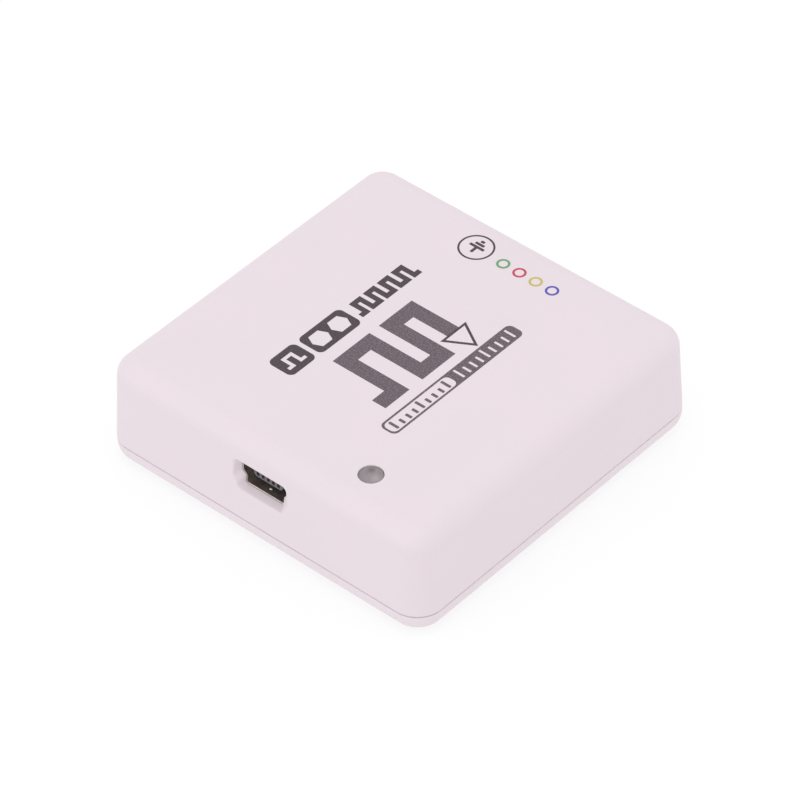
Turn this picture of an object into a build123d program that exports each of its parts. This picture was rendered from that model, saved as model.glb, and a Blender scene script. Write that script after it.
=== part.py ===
from build123d import *
import math
import os

# Pocket logic analyzer for a workbench: a two-piece plastic case with one board inside.
# All sizes are in millimetres. The origin is the middle of the underside, +Z is up,
# -Y is the side with the USB socket and +Y the side where the probe lead plugs in.

# ---- case, driving sizes
CASE_X = 50.0            # outside width at the seam
CASE_Y = 50.0            # outside length at the seam
CASE_H = 15.0            # overall height
CORNER_R = 3.66          # upright corners at the seam, seen from above
DRAFT_DEG = 3.16         # how far the cover's sides lean inwards
TOP_EDGE_R = 2.5         # rounding between the cover's sides and its top
WALL = 1.6               # side walls of the cover
ROOF = 1.6               # top of the cover
BASE_H = 2.85            # base plate up to the ledge that the cover sits on
BASE_INSET = 0.03        # base plate's sides behind the cover's sides at the seam
BASE_EDGE_R = 2.4        # rounding along the underside
BASE_FLOOR = 1.8         # floor of the base plate

# ---- seam between cover and base plate
SEAM_GAP = 0.10          # height of the shadow line
SEAM_DEPTH = 0.3         # depth of the shadow line
RIM_EDGE_R = 0.20        # softened edge of the cover along the seam
LEDGE_EDGE_R = 0.15      # softened edge of the base plate along the seam
FACE_SEARCH = 0.01       # half the height of the band in which a face or a corner is looked for
FACES_FRONT = 0.9        # a face whose normal points this far along -Y belongs to the front
LIP_H = 2.15             # lip of the base plate above its ledge
LIP_T = 1.0              # thickness of that lip
LIP_GAP = 0.11           # clearance between the lip's top and the cover's wall
BEAD_H = 0.12            # snap beads, proud of the lip
BEAD_TALL = 0.7          # height of a bead along the lip
BEAD_LONG = 8.0          # length of a bead
BEAD_OFFSET = 13.0       # beads from the middle of each side
BEAD_RISE = 1.35         # middle of a bead above the ledge
GROOVE_GAP = 0.10        # the cover's grooves around the beads

# ---- board and its fixings
BOARD_T = 1.6
BOARD_EDGE_GAP = 0.9     # board's edge to the cover's wall at the seam
BOARD_CORNER_R = 2.0
BOSS_H = 4.2             # bosses above the floor
BOSS_D = 5.0
BOSS_INSET = 4.0         # boss centres from the board's edges
SCREW_D = 1.9            # thread of the self-tapping screws
SCREW_LENGTH = 5.0       # under the head
SCREW_TIP = 0.6
SCREW_HEAD_D = 3.5
SCREW_HEAD_H = 1.1
SCREW_SLOT = (0.5, 2.1, 0.6)     # one arm of the cross recess: width, length, depth
SCREW_HOLE_GAP = 0.2     # radial clearance of the screw in the board
PILOT_SPARE = 0.4        # pilot hole deeper than the screw

# ---- USB mini-B socket
USB_HALF_WIDE = 3.65     # half of the shell's wide side, outside
USB_HALF_NARROW = 3.12   # half of the shell's narrow side, outside
USB_H = 3.8
USB_NECK_H = 1.25        # height of the narrow part
USB_FLARE_H = 1.8        # height at which the shell has its full width
USB_LENGTH = 9.2
USB_SHEET = 0.2
USB_CORNER_R = 0.35
USB_MOUTH_R = 0.09       # rounded inner edge of the shell's mouth
USB_SETBACK = 1.03       # shell's mouth behind the cover's outer face
USB_WINDOW_SIDE = 0.82   # window's outer end beyond the shell at each side
USB_WINDOW_FOOT = 0.3    # the same at the narrow side
USB_WINDOW_RISE = 0.19   # the same above
USB_WINDOW_DROP = 0.45   # the same below
USB_WINDOW_OVER = 0.12   # window's inner end over the shell's rim, so that no gap shows
USB_WINDOW_SLOPE = 1.5   # height of the window's sloping corners
USB_WINDOW_OUTER_R = 0.7 # corners at the window's outer end
USB_WINDOW_INNER_R = 0.4 # corners at its inner end
USB_WINDOW_EDGE_R = 0.4  # softened edge where the window meets the face
USB_POCKET_SIDE = 0.85   # pocket behind the window, beyond the shell's sides
USB_POCKET_RISE = 0.15   # pocket above the shell
USB_POCKET_GAP = 0.07    # pocket's bottom in front of the shell's mouth
USB_TAB = (1.8, 1.5)     # solder tabs: length along Y, reach from the narrow side
USB_TAB_INSETS = (2.0, 6.4)      # front edges of the tabs behind the shell's mouth
USB_LEAF = (1.2, 3.1, 0.3)       # spring leaf in the roof: width, length, slot around it
USB_LEAF_X = 1.9
USB_LEAF_INSET = 2.0
USB_DETENT_INSET = 1.0   # dimple in the floor behind the shell's mouth
USB_DETENT_H = 0.12
USB_TONGUE_W = 4.5
USB_TONGUE_T = 1.3
USB_TONGUE_RISE = 1.4    # tongue's underside above the board
USB_TONGUE_SETBACK = 0.5 # tongue's end behind the shell's mouth
USB_TONGUE_EDGE_R = 0.5
USB_CORE_LENGTH = 3.16   # plastic block at the back of the socket
USB_CORE_FIT = 0.02      # plastic block inside the shell
USB_PITCH = 0.8
USB_CONTACTS = 5
USB_CONTACT_W = 0.4
USB_CONTACT_T = 0.2
USB_SLOT_W = 0.46
USB_SLOT_RISE = 0.22     # slot bottom above the tongue's underside
USB_CONTACT_SETBACK = 0.9        # contact's end behind the tongue's end
USB_FOOT_LENGTH = 0.9
USB_PEG_D = 0.9
USB_PEG_X = 2.0
USB_PEG_GAP = 0.05

# ---- probe header
PIN_PITCH = 2.54
PIN_COUNT = 5
PIN_SIDE = 0.64          # square pins
PIN_RISE = 1.52          # pin axis above the board
PIN_FIRST_X = -2.39      # ground pin; the four channel pins follow at the pitch
PIN_TIP_SETBACK = 1.26   # pin tips behind the cover's outer face
PIN_FREE = 5.36          # free length in front of the block
PIN_TAIL = 1.4           # below the board
PIN_BEND_R = 1.0         # outside of the bend
PIN_BEHIND = 1.2         # bend's leg behind the block
PIN_TIP_CHAMFER = 0.16
HEADER_BLOCK = 2.54      # depth of the moulded block along the pins
HEADER_NOTCH = 0.35      # bevels where the block's positions meet
PIN_HOLE_GAP = 0.05      # pin corners to the board's holes
PROBE_WINDOW_GAP_X = 0.5 # window beyond the plug's outline, which is the pitch times the pins
PROBE_WINDOW_H = 3.4
PROBE_WINDOW_R = 0.5
PROBE_POCKET_SIDE = 0.4
PROBE_POCKET_GAP = 0.3   # pocket's bottom behind the pin tips

# ---- status light
LED_D = 2.96
LED_LENGTH = 5.9
LED_DOME_H = 0.2         # height of the lens's low dome
LED_FLANGE_D = 3.6
LED_FLANGE_H = 1.0
LED_FLAT = 1.6           # flat of the flange from the axis
LED_SETBACK = 0.02       # dome's top below the cover's top
LED_FROM_SIDE = 12.62    # axis from the +X side
LED_FROM_FRONT = 6.06    # axis from the -Y side
LED_HOLE_GAP = 0.07
LED_HOLE_EDGE_R = 0.12
LED_COLLAR_D = 5.0
LED_COLLAR_H = 1.2
LED_LEAD = 0.5
LED_LEAD_SPACING = 2.54
LED_LEAD_TAIL = 1.3

# ---- soldered joints under the board
SOLDER_D = 1.9           # at the board
SOLDER_TOP_D = 1.1       # where the solder ends on the pin
SOLDER_H = 0.7

# ---- ribs under the cover's roof
RIB_W = 0.8
RIB_DEPTH = 0.6
RIB_X = 20.0
RIB_LONG = 32.0

# ---- electronic packages
# A body is its size along X, its size along Y, its height and its stand-off from the board.
# Leads are their number on a side, their pitch, their reach from the body and their width.
LEAD_T = 0.12
LEAD_FROM_BODY = 0.42    # share of the body's height at which leads come out
LEAD_SHOULDER = 0.25     # share of the reach that stays level
LEAD_HEEL = 0.45         # share of the reach at which a lead has come down
BODY_BEVEL = 0.12
LOGIC_BODY = (10.0, 10.0, 1.4, 0.1)
LOGIC_LEADS = (16, 0.5, 1.0, 0.22)
LOGIC_AT = (1.0, 4.0)
USB_CHIP_BODY = (7.0, 7.0, 1.4, 0.1)
USB_CHIP_LEADS = (12, 0.5, 1.0, 0.22)
USB_CHIP_AT = (0.0, -7.6)
MEMORY_BODY = (10.16, 22.22, 1.0, 0.1)
MEMORY_LEADS = (27, 0.8, 0.8, 0.3)
MEMORY_AT = (-13.5, 2.0)
FLASH_BODY = (4.4, 3.0, 1.0, 0.1)
FLASH_LEADS = (4, 0.65, 1.0, 0.25)
FLASH_AT = (12.9, 1.0)
BUFFER_BODY = (4.4, 5.0, 1.0, 0.1)
BUFFER_LEADS = (7, 0.65, 1.0, 0.25)
BUFFER_AT = (13.4, 8.0)
GUARD_BODY = (2.0, 1.25, 0.9, 0.1)
GUARD_LEAD = (0.42, 0.3)         # reach and width
GUARD_LEAD_X = 0.65
GUARD_BEHIND = 1.9       # arrays behind the header's pin rows
ESD_BODY = (2.9, 1.6, 1.1, 0.1)
ESD_LEADS = (3, 0.95, 0.6, 0.4)
ESD_AT = (7.3, -9.9)
REGULATOR_BODY = (6.5, 3.5, 1.5, 0.1)
REGULATOR_LEAD = (1.7, 0.7, 0.25)    # reach, width, thickness
REGULATOR_TAB = (1.7, 3.0, 0.25)
REGULATOR_LEAD_X = 2.3
REGULATOR_AT = (14.0, -8.8)
CRYSTAL_BASE = (5.0, 3.2, 0.7)
CRYSTAL_LID = (4.4, 2.6, 0.3)
CRYSTAL_LID_R = 0.4
CRYSTAL_LID_BEVEL = 0.08
CRYSTAL_AT = (7.6, -4.6)
TANTALUM_BODY = (3.2, 1.6, 1.5, 0.1)
TANTALUM_STRAPS = (1, 1.0, 0.5, 1.2)
TANTALUM_AT = ((-8.6, -16.2), (-8.6, -19.4))
FUSE_SIZE = (3.2, 1.6, 0.8)
FUSE_AT = (-8.4, -12.6)
FERRITE_SIZE = (2.0, 1.25, 0.9)
FERRITE_AT = (7.4, -13.0)
SMALL_RESISTOR = (1.6, 0.8, 0.45)
SMALL_CAPACITOR = (1.6, 0.8, 0.8)
CHIP_END = 0.35          # length of a chip part's metal ends
CHIP_END_PROUD = 0.02    # metal ends beyond the ceramic
SERIES_RESISTOR_X = 11.4 # first of the four input resistors
SERIES_RESISTOR_STEP = 1.5
SERIES_RESISTOR_Y = 12.9
CAPACITOR_COLUMNS = ((8.5, (-1.0, 3.4, 7.8)), (-6.3, (0.0, 4.0, 8.0)), (-6.3, (-5.6, -9.6)))
CAPACITOR_ROWS = ((-13.5, -10.6), (-13.5, 14.6))
LED_RESISTOR_AT = (8.4, -17.6)
PIN_ONE_D = 0.8
PIN_ONE_DEPTH = 0.06

# ---- what follows from those sizes
SLOPE = math.tan(math.radians(DRAFT_DEG))
CEILING_Z = CASE_H - ROOF
LIP_TOP_Z = BASE_H + LIP_H
BOARD_LOW = BASE_FLOOR + BOSS_H
BOARD_TOP = BOARD_LOW + BOARD_T
BOARD_X = CASE_X - 2 * (WALL + BOARD_EDGE_GAP)
BOARD_Y = CASE_Y - 2 * (WALL + BOARD_EDGE_GAP)


def cover_inset(z):
    """How far the cover's sides have leaned inwards at height z."""
    return (z - BASE_H) * SLOPE


PIN_Z = BOARD_TOP + PIN_RISE
USB_MID_Z = BOARD_TOP + USB_H / 2
USB_FRONT_Y = -(CASE_Y / 2 - cover_inset(USB_MID_Z) - USB_SETBACK)
USB_BACK_Y = USB_FRONT_Y + USB_LENGTH
USB_CORE_Y = USB_BACK_Y - USB_CORE_LENGTH
USB_POCKET_Y = USB_FRONT_Y - USB_POCKET_GAP
TONGUE_LOW = BOARD_TOP + USB_TONGUE_RISE
CONTACT_LOW = TONGUE_LOW + USB_SLOT_RISE
PIN_TIP_Y = CASE_Y / 2 - cover_inset(PIN_Z) - PIN_TIP_SETBACK
HEADER_FRONT_Y = PIN_TIP_Y - PIN_FREE
HEADER_BACK_Y = HEADER_FRONT_Y - HEADER_BLOCK
PIN_LEG_Y = HEADER_BACK_Y - PIN_BEHIND - PIN_SIDE / 2
PIN_XS = [PIN_FIRST_X + i * PIN_PITCH for i in range(PIN_COUNT)]
HEADER_MID_X = (PIN_XS[0] + PIN_XS[-1]) / 2
LED_X = CASE_X / 2 - LED_FROM_SIDE
LED_Y = -(CASE_Y / 2 - LED_FROM_FRONT)
LED_LOW = CASE_H - LED_SETBACK - LED_LENGTH
LED_LEAD_XS = [LED_X - LED_LEAD_SPACING / 2, LED_X + LED_LEAD_SPACING / 2]
USB_CONTACT_XS = [(i - (USB_CONTACTS - 1) / 2) * USB_PITCH for i in range(USB_CONTACTS)]
SCREW_SPOTS = [
    (sx * (BOARD_X / 2 - BOSS_INSET), sy * (BOARD_Y / 2 - BOSS_INSET))
    for sx in (-1, 1)
    for sy in (-1, 1)
]


# ---------------------------------------------------------------- small helpers
def block(x, y, z):
    """Box between two X, two Y and two Z values."""
    size = (x[1] - x[0], y[1] - y[0], z[1] - z[0])
    middle = ((x[0] + x[1]) / 2, (y[0] + y[1]) / 2, (z[0] + z[1]) / 2)
    return Pos(*middle) * Box(*size)


def post(x, y, diameter, z):
    """Upright cylinder between two Z values."""
    return Pos(x, y, (z[0] + z[1]) / 2) * Cylinder(diameter / 2, z[1] - z[0])


def rounded_block(size_x, size_y, corner_r, z, draft=0.0):
    """Upright block with rounded corners, whose sides may lean inwards as it rises."""
    outline = RectangleRounded(size_x, size_y, corner_r)
    return Pos(0, 0, z[0]) * extrude(outline, amount=z[1] - z[0], taper=draft)


def along_y(outline, y):
    """Solid of an outline drawn in X and Z, between two Y values."""
    plane = Plane(origin=(0, y[1], 0), x_dir=(1, 0, 0), z_dir=(0, -1, 0))
    return extrude(plane * outline, amount=y[1] - y[0])


def along_x(outline, x):
    """Solid of an outline drawn in Y and Z, between two X values."""
    plane = Plane(origin=(x[0], 0, 0), x_dir=(0, 1, 0), z_dir=(1, 0, 0))
    return extrude(plane * outline, amount=x[1] - x[0])


def polygon(points):
    """Flat face through a list of points."""
    return make_face(Polyline(*points, close=True))


def save(name, shape):
    """Write one node; a list becomes one node of separate solids."""
    if isinstance(shape, list):
        shape = Compound(shape)
    export_step(shape, f"parts/{name}.step")


# ---------------------------------------------------------------- case
def bead_places():
    """Turn and offset of each snap bead: two on every side."""
    return [(turn, side * BEAD_OFFSET) for turn in (0, 90, 180, 270) for side in (-1, 1)]


def bead(half_size, height, proud, offset, turn):
    """Ridge with a triangular section on a wall that faces -Y before it is turned."""
    z_mid = BASE_H + BEAD_RISE
    ridge = polygon([
        (-half_size + proud, z_mid - height / 2 - proud),
        (-half_size - proud, z_mid),
        (-half_size + proud, z_mid + height / 2 + proud),
    ])
    bar = along_x(ridge, (offset - BEAD_LONG / 2, offset + BEAD_LONG / 2))
    return Rot(0, 0, turn) * bar


def half_size_at(turn, size_x, size_y):
    """Half size of a rectangle across the side that a turn faces."""
    return size_y / 2 if turn in (0, 180) else size_x / 2


def make_base_plate():
    """Base plate: rounded tray with a lip for the cover and four bosses for the board."""
    size_x = CASE_X - 2 * BASE_INSET
    size_y = CASE_Y - 2 * BASE_INSET
    tray = rounded_block(size_x, size_y, CORNER_R - BASE_INSET, (0, BASE_H))
    tray = fillet(tray.faces().sort_by(Axis.Z)[0].edges(), BASE_EDGE_R)
    tray = fillet(tray.faces().sort_by(Axis.Z)[-1].edges(), LEDGE_EDGE_R)
    lip_inset = WALL + cover_inset(LIP_TOP_Z) + LIP_GAP
    lip_x = CASE_X - 2 * lip_inset
    lip_y = CASE_Y - 2 * lip_inset
    lip_r = CORNER_R - WALL
    tray += rounded_block(lip_x, lip_y, lip_r, (BASE_H - LEDGE_EDGE_R, LIP_TOP_Z))
    for turn, offset in bead_places():
        tray += bead(half_size_at(turn, lip_x, lip_y), BEAD_TALL, BEAD_H, offset, turn)
    inside_r = max(lip_r - LIP_T, LIP_T / 2)
    tray -= rounded_block(lip_x - 2 * LIP_T, lip_y - 2 * LIP_T, inside_r, (BASE_FLOOR, CASE_H))
    pilot_low = BOARD_TOP - SCREW_LENGTH - PILOT_SPARE
    for x, y in SCREW_SPOTS:
        tray += post(x, y, BOSS_D, (BASE_FLOOR, BOARD_LOW))
        tray -= post(x, y, SCREW_D, (pilot_low, CASE_H))
    return tray


def usb_window(y, corners, knee, corner_r):
    """Outline of the USB window at one depth; the knee is the one corner that stays sharp."""
    right = corners[:1] + [knee] + corners[1:]
    left = [(-x, z) for x, z in reversed(right)]
    outline = polygon(right + left)
    rounded = [vertex for vertex in outline.vertices() if abs(vertex.Y - knee[1]) > FACE_SEARCH]
    plane = Plane(origin=(0, y, 0), x_dir=(1, 0, 0), z_dir=(0, -1, 0))
    return plane * fillet(rounded, corner_r)


def usb_funnel():
    """Space of the window: it follows the shell's rim at its inner end and widens outwards."""
    wide = USB_HALF_WIDE + USB_WINDOW_SIDE
    narrow = USB_HALF_NARROW + USB_WINDOW_FOOT
    low = BOARD_TOP - USB_WINDOW_DROP
    high = BOARD_TOP + USB_H + USB_WINDOW_RISE
    knee = ((narrow + wide) / 2, low + USB_WINDOW_SLOPE / 2)
    corners = [(narrow, low), (wide, low + USB_WINDOW_SLOPE), (wide, high)]
    outer = usb_window(-CASE_Y / 2, corners, knee, USB_WINDOW_OUTER_R)
    wide = USB_HALF_WIDE - USB_WINDOW_OVER
    narrow = USB_HALF_NARROW - USB_WINDOW_OVER
    low = BOARD_TOP + USB_WINDOW_OVER
    high = BOARD_TOP + USB_H - USB_WINDOW_OVER
    corners = [(narrow, low), (wide, low + USB_FLARE_H), (wide, high)]
    inner = usb_window(USB_POCKET_Y, corners, (narrow, low + USB_NECK_H), USB_WINDOW_INNER_R)
    return loft([outer, inner], ruled=True)


def has_front_window(face):
    """Whether a face looks to the front and has an opening in it."""
    return face.normal_at().Y < -FACES_FRONT and len(face.inner_wires()) > 0


def cut_usb_window(cover):
    """Window for the plug, and a pocket behind it that lets the cover lift off."""
    cover -= usb_funnel()
    front = cover.faces().filter_by(has_front_window).sort_by(Axis.Y)[0]
    cover = fillet(front.inner_wires().edges(), USB_WINDOW_EDGE_R)
    half = USB_HALF_WIDE + USB_POCKET_SIDE
    top = BOARD_TOP + USB_H + USB_POCKET_RISE
    return cover - block((-half, half), (USB_POCKET_Y, -CASE_Y / 2 + 2 * WALL), (BASE_H - WALL, top))


def cut_probe_window(cover):
    """Window for the probe plug in the back, with its own pocket for lifting off."""
    width = PIN_COUNT * PIN_PITCH + 2 * PROBE_WINDOW_GAP_X
    outline = Pos(HEADER_MID_X, PIN_Z) * RectangleRounded(width, PROBE_WINDOW_H, PROBE_WINDOW_R)
    cover -= along_y(outline, (CASE_Y / 2 - 2 * WALL, CASE_Y / 2 + WALL))
    half = width / 2 + PROBE_POCKET_SIDE
    sides = (HEADER_MID_X - half, HEADER_MID_X + half)
    pocket_y = PIN_TIP_Y + PROBE_POCKET_GAP
    top = PIN_Z + PROBE_WINDOW_H / 2
    return cover - block(sides, (CASE_Y / 2 - 2 * WALL, pocket_y), (BASE_H - WALL, top))


def cover_shell():
    """Outside and inside of the cover, without its openings."""
    height = CASE_H - BASE_H
    top_r = min(TOP_EDGE_R, CORNER_R - height * SLOPE - LEDGE_EDGE_R)
    outside = rounded_block(CASE_X, CASE_Y, CORNER_R, (BASE_H, CASE_H), DRAFT_DEG)
    outside = fillet(outside.faces().sort_by(Axis.Z)[-1].edges(), top_r)
    inside_x = CASE_X - 2 * WALL
    inside_y = CASE_Y - 2 * WALL
    inside = rounded_block(inside_x, inside_y, CORNER_R - WALL, (BASE_H, CEILING_Z), DRAFT_DEG)
    inside_r = max(top_r - WALL, LEDGE_EDGE_R)
    inside = fillet(inside.faces().sort_by(Axis.Z)[-1].edges(), inside_r)
    shell = outside - inside
    seam = rounded_block(CASE_X + WALL, CASE_Y + WALL, CORNER_R, (BASE_H - SEAM_GAP, BASE_H + SEAM_GAP))
    rim_x = CASE_X - 2 * SEAM_DEPTH
    rim_y = CASE_Y - 2 * SEAM_DEPTH
    seam -= rounded_block(rim_x, rim_y, CORNER_R - SEAM_DEPTH, (0, CASE_H))
    shell -= seam
    rim_z = BASE_H + SEAM_GAP
    level = shell.faces().filter_by(Axis.Z)
    rim = level.filter_by_position(Axis.Z, rim_z - FACE_SEARCH, rim_z + FACE_SEARCH)
    return fillet(rim[0].outer_wire().edges(), RIM_EDGE_R)


def make_top_cover():
    """Top cover: drafted shell with two plug windows, a hole for the light and two ribs."""
    cover = cover_shell()
    inside_x = CASE_X - 2 * (WALL + cover_inset(BASE_H + BEAD_RISE))
    inside_y = CASE_Y - 2 * (WALL + cover_inset(BASE_H + BEAD_RISE))
    for turn, offset in bead_places():
        half = half_size_at(turn, inside_x, inside_y)
        cover -= bead(half, BEAD_TALL + GROOVE_GAP, GROOVE_GAP, offset, turn)
    cover += post(LED_X, LED_Y, LED_COLLAR_D, (CEILING_Z - LED_COLLAR_H, CEILING_Z))
    for side in (-1, 1):
        across = sorted((side * RIB_X - RIB_W / 2, side * RIB_X + RIB_W / 2))
        cover += block(across, (-RIB_LONG / 2, RIB_LONG / 2), (CEILING_Z - RIB_DEPTH, CEILING_Z))
    cover -= post(LED_X, LED_Y, LED_D + 2 * LED_HOLE_GAP, (BASE_H, CASE_H + ROOF))
    top = cover.faces().sort_by(Axis.Z)[-1]
    cover = fillet(top.inner_wires().edges(), LED_HOLE_EDGE_R)
    cover = cut_usb_window(cover)
    return cut_probe_window(cover)


# ---------------------------------------------------------------- board and screws
def make_board():
    """Circuit board with its screw, pin, lead and peg holes."""
    board = rounded_block(BOARD_X, BOARD_Y, BOARD_CORNER_R, (BOARD_LOW, BOARD_TOP))
    through = (BOARD_LOW - BOARD_T, BOARD_TOP + BOARD_T)
    for x, y in SCREW_SPOTS:
        board -= post(x, y, SCREW_D + 2 * SCREW_HOLE_GAP, through)
    pin_hole = PIN_SIDE * math.sqrt(2) + 2 * PIN_HOLE_GAP
    for x in PIN_XS:
        board -= post(x, PIN_LEG_Y, pin_hole, through)
    lead_hole = LED_LEAD * math.sqrt(2) + 2 * PIN_HOLE_GAP
    for x in LED_LEAD_XS:
        board -= post(x, LED_Y, lead_hole, through)
    for x, y in usb_pegs():
        board -= post(x, y, USB_PEG_D + 2 * USB_PEG_GAP, through)
    return board


def make_screw(x, y):
    """Self-tapping pan-head screw with a cross recess, seated on the board."""
    head = post(x, y, SCREW_HEAD_D, (BOARD_TOP, BOARD_TOP + SCREW_HEAD_H))
    head = fillet(head.faces().sort_by(Axis.Z)[-1].edges(), SCREW_HEAD_H / 3)
    arm_w, arm_l, arm_d = SCREW_SLOT
    arm = Pos(x, y, BOARD_TOP + SCREW_HEAD_H - arm_d / 2) * Box(arm_w, arm_l, arm_d)
    arm += Pos(x, y, BOARD_TOP + SCREW_HEAD_H - arm_d / 2) * Box(arm_l, arm_w, arm_d)
    low = BOARD_TOP - SCREW_LENGTH
    shank = post(x, y, SCREW_D, (low + SCREW_TIP, BOARD_TOP))
    tip = Pos(x, y, low + SCREW_TIP / 2) * Cone(SCREW_D / 6, SCREW_D / 2, SCREW_TIP)
    return head - arm + shank + tip


# ---------------------------------------------------------------- USB socket
def shell_outline():
    """Outside of the shell: narrow near the board, flaring to its full width."""
    low = BOARD_TOP
    outline = polygon([
        (-USB_HALF_NARROW, low), (USB_HALF_NARROW, low),
        (USB_HALF_NARROW, low + USB_NECK_H), (USB_HALF_WIDE, low + USB_FLARE_H),
        (USB_HALF_WIDE, low + USB_H), (-USB_HALF_WIDE, low + USB_H),
        (-USB_HALF_WIDE, low + USB_FLARE_H), (-USB_HALF_NARROW, low + USB_NECK_H),
    ])
    return fillet(outline.vertices(), USB_CORNER_R)


def usb_pegs():
    """Centres of the two locating pegs under the plastic block."""
    y = (USB_CORE_Y + USB_BACK_Y) / 2
    return [(-USB_PEG_X, y), (USB_PEG_X, y)]


def leaf_slot(x):
    """U-shaped slot in the shell's roof that frees one spring leaf."""
    leaf_w, leaf_long, slot = USB_LEAF
    roof = (BOARD_TOP + USB_H - 2 * USB_SHEET, BOARD_TOP + USB_H + 1)
    front = USB_FRONT_Y + USB_LEAF_INSET
    back = front + leaf_long
    half = leaf_w / 2
    slot_all = block((x - half - slot, x + half + slot), (front, back + slot), roof)
    return slot_all - block((x - half, x + half), (front - 1, back), roof)


def make_usb_shell():
    """Folded steel shell with four solder tabs, two spring slots and a detent."""
    inner = offset(shell_outline(), amount=-USB_SHEET)
    shell = along_y(shell_outline(), (USB_FRONT_Y, USB_BACK_Y))
    shell -= along_y(inner, (USB_FRONT_Y - 1, USB_BACK_Y + 1))
    mouth = shell.faces().sort_by(Axis.Y)[0]
    shell = fillet(mouth.inner_wires().edges(), USB_MOUTH_R)
    tab_long, tab_reach = USB_TAB
    for inset in USB_TAB_INSETS:
        front = USB_FRONT_Y + inset
        reach = USB_HALF_NARROW + tab_reach
        shell += block((-reach, reach), (front, front + tab_long), (BOARD_TOP, BOARD_TOP + USB_SHEET))
    open_half = USB_HALF_NARROW - USB_CORNER_R
    shell -= block((-open_half, open_half), (USB_CORE_Y, USB_BACK_Y + 1),
                   (BOARD_TOP - 1, BOARD_TOP + USB_SHEET))
    for x in (-USB_LEAF_X, USB_LEAF_X):
        shell -= leaf_slot(x)
    detent = Pos(0, USB_FRONT_Y + USB_DETENT_INSET, BOARD_TOP) * Sphere(USB_SHEET + USB_DETENT_H)
    above_floor = (BOARD_TOP + USB_SHEET / 2, BOARD_TOP + USB_H / 2)
    return shell + (detent & block((-1, 1), (USB_FRONT_Y, USB_CORE_Y), above_floor))


def make_usb_contact(x):
    """One contact: a flat blade in the tongue, bent down to a foot behind the block."""
    low = CONTACT_LOW
    high = CONTACT_LOW + USB_CONTACT_T
    tip = USB_FRONT_Y + USB_TONGUE_SETBACK + USB_CONTACT_SETBACK
    leg = USB_BACK_Y + USB_CONTACT_T
    foot = leg + USB_FOOT_LENGTH
    outline = polygon([
        (tip, low), (USB_BACK_Y, low), (USB_BACK_Y, BOARD_TOP), (foot, BOARD_TOP),
        (foot, BOARD_TOP + USB_CONTACT_T), (leg, BOARD_TOP + USB_CONTACT_T), (leg, high), (tip, high),
    ])
    return along_x(outline, (x - USB_CONTACT_W / 2, x + USB_CONTACT_W / 2))


def make_usb_insulator():
    """Plastic block at the back of the socket, its slotted tongue and its two pegs."""
    fitted = offset(shell_outline(), amount=-USB_SHEET - USB_CORE_FIT)
    core = along_y(fitted, (USB_CORE_Y, USB_BACK_Y))
    sole_half = USB_HALF_NARROW - USB_CORNER_R - USB_CORE_FIT
    core += block((-sole_half, sole_half), (USB_CORE_Y, USB_BACK_Y), (BOARD_TOP, TONGUE_LOW))
    tip = USB_FRONT_Y + USB_TONGUE_SETBACK
    half = USB_TONGUE_W / 2
    tongue = block((-half, half), (tip, USB_CORE_Y), (TONGUE_LOW, TONGUE_LOW + USB_TONGUE_T))
    long_edges = tongue.edges().filter_by(Axis.Y)
    tongue = fillet(long_edges, USB_TONGUE_EDGE_R)
    for x in USB_CONTACT_XS:
        tongue -= block((x - USB_SLOT_W / 2, x + USB_SLOT_W / 2), (tip - 1, USB_CORE_Y),
                        (CONTACT_LOW, BOARD_TOP + USB_H))
    core += tongue
    for x, y in usb_pegs():
        core += post(x, y, USB_PEG_D, (BOARD_LOW, BOARD_TOP))
    for x in USB_CONTACT_XS:
        core -= make_usb_contact(x)
    return core


# ---------------------------------------------------------------- probe header
def make_header_pin(x):
    """Square pin: straight out through the block at one end, down through the board at the other."""
    half = PIN_SIDE / 2
    low = BOARD_LOW - PIN_TAIL
    outline = polygon([
        (PIN_LEG_Y - half, low), (PIN_LEG_Y + half, low), (PIN_LEG_Y + half, PIN_Z - half),
        (PIN_TIP_Y, PIN_Z - half), (PIN_TIP_Y, PIN_Z + half), (PIN_LEG_Y - half, PIN_Z + half),
    ])
    outer = outline.vertices().sort_by_distance((PIN_LEG_Y - half, PIN_Z + half))[0]
    outline = fillet(outer, PIN_BEND_R)
    inner = outline.vertices().sort_by_distance((PIN_LEG_Y + half, PIN_Z - half))[0]
    outline = fillet(inner, PIN_BEND_R - PIN_SIDE)
    pin = along_x(outline, (x - half, x + half))
    tip = pin.faces().sort_by(Axis.Y)[-1]
    tail = pin.faces().sort_by(Axis.Z)[0]
    return chamfer(tip.edges() + tail.edges(), PIN_TIP_CHAMFER)


def make_header_block():
    """Moulded block of the header: one bevelled position for each pin."""
    half = PIN_PITCH / 2
    low = BOARD_TOP
    high = PIN_Z + half
    cut = HEADER_NOTCH
    positions = []
    for x in PIN_XS:
        outline = polygon([
            (x - half + cut, low), (x + half - cut, low), (x + half, low + cut), (x + half, high - cut),
            (x + half - cut, high), (x - half + cut, high), (x - half, high - cut), (x - half, low + cut),
        ])
        positions.append(along_y(outline, (HEADER_BACK_Y, HEADER_FRONT_Y)))
    body = positions[0].fuse(*positions[1:]).clean()
    for x in PIN_XS:
        side = (x - PIN_SIDE / 2, x + PIN_SIDE / 2)
        body -= block(side, (HEADER_BACK_Y - 1, HEADER_FRONT_Y + 1),
                      (PIN_Z - PIN_SIDE / 2, PIN_Z + PIN_SIDE / 2))
    return body


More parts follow.
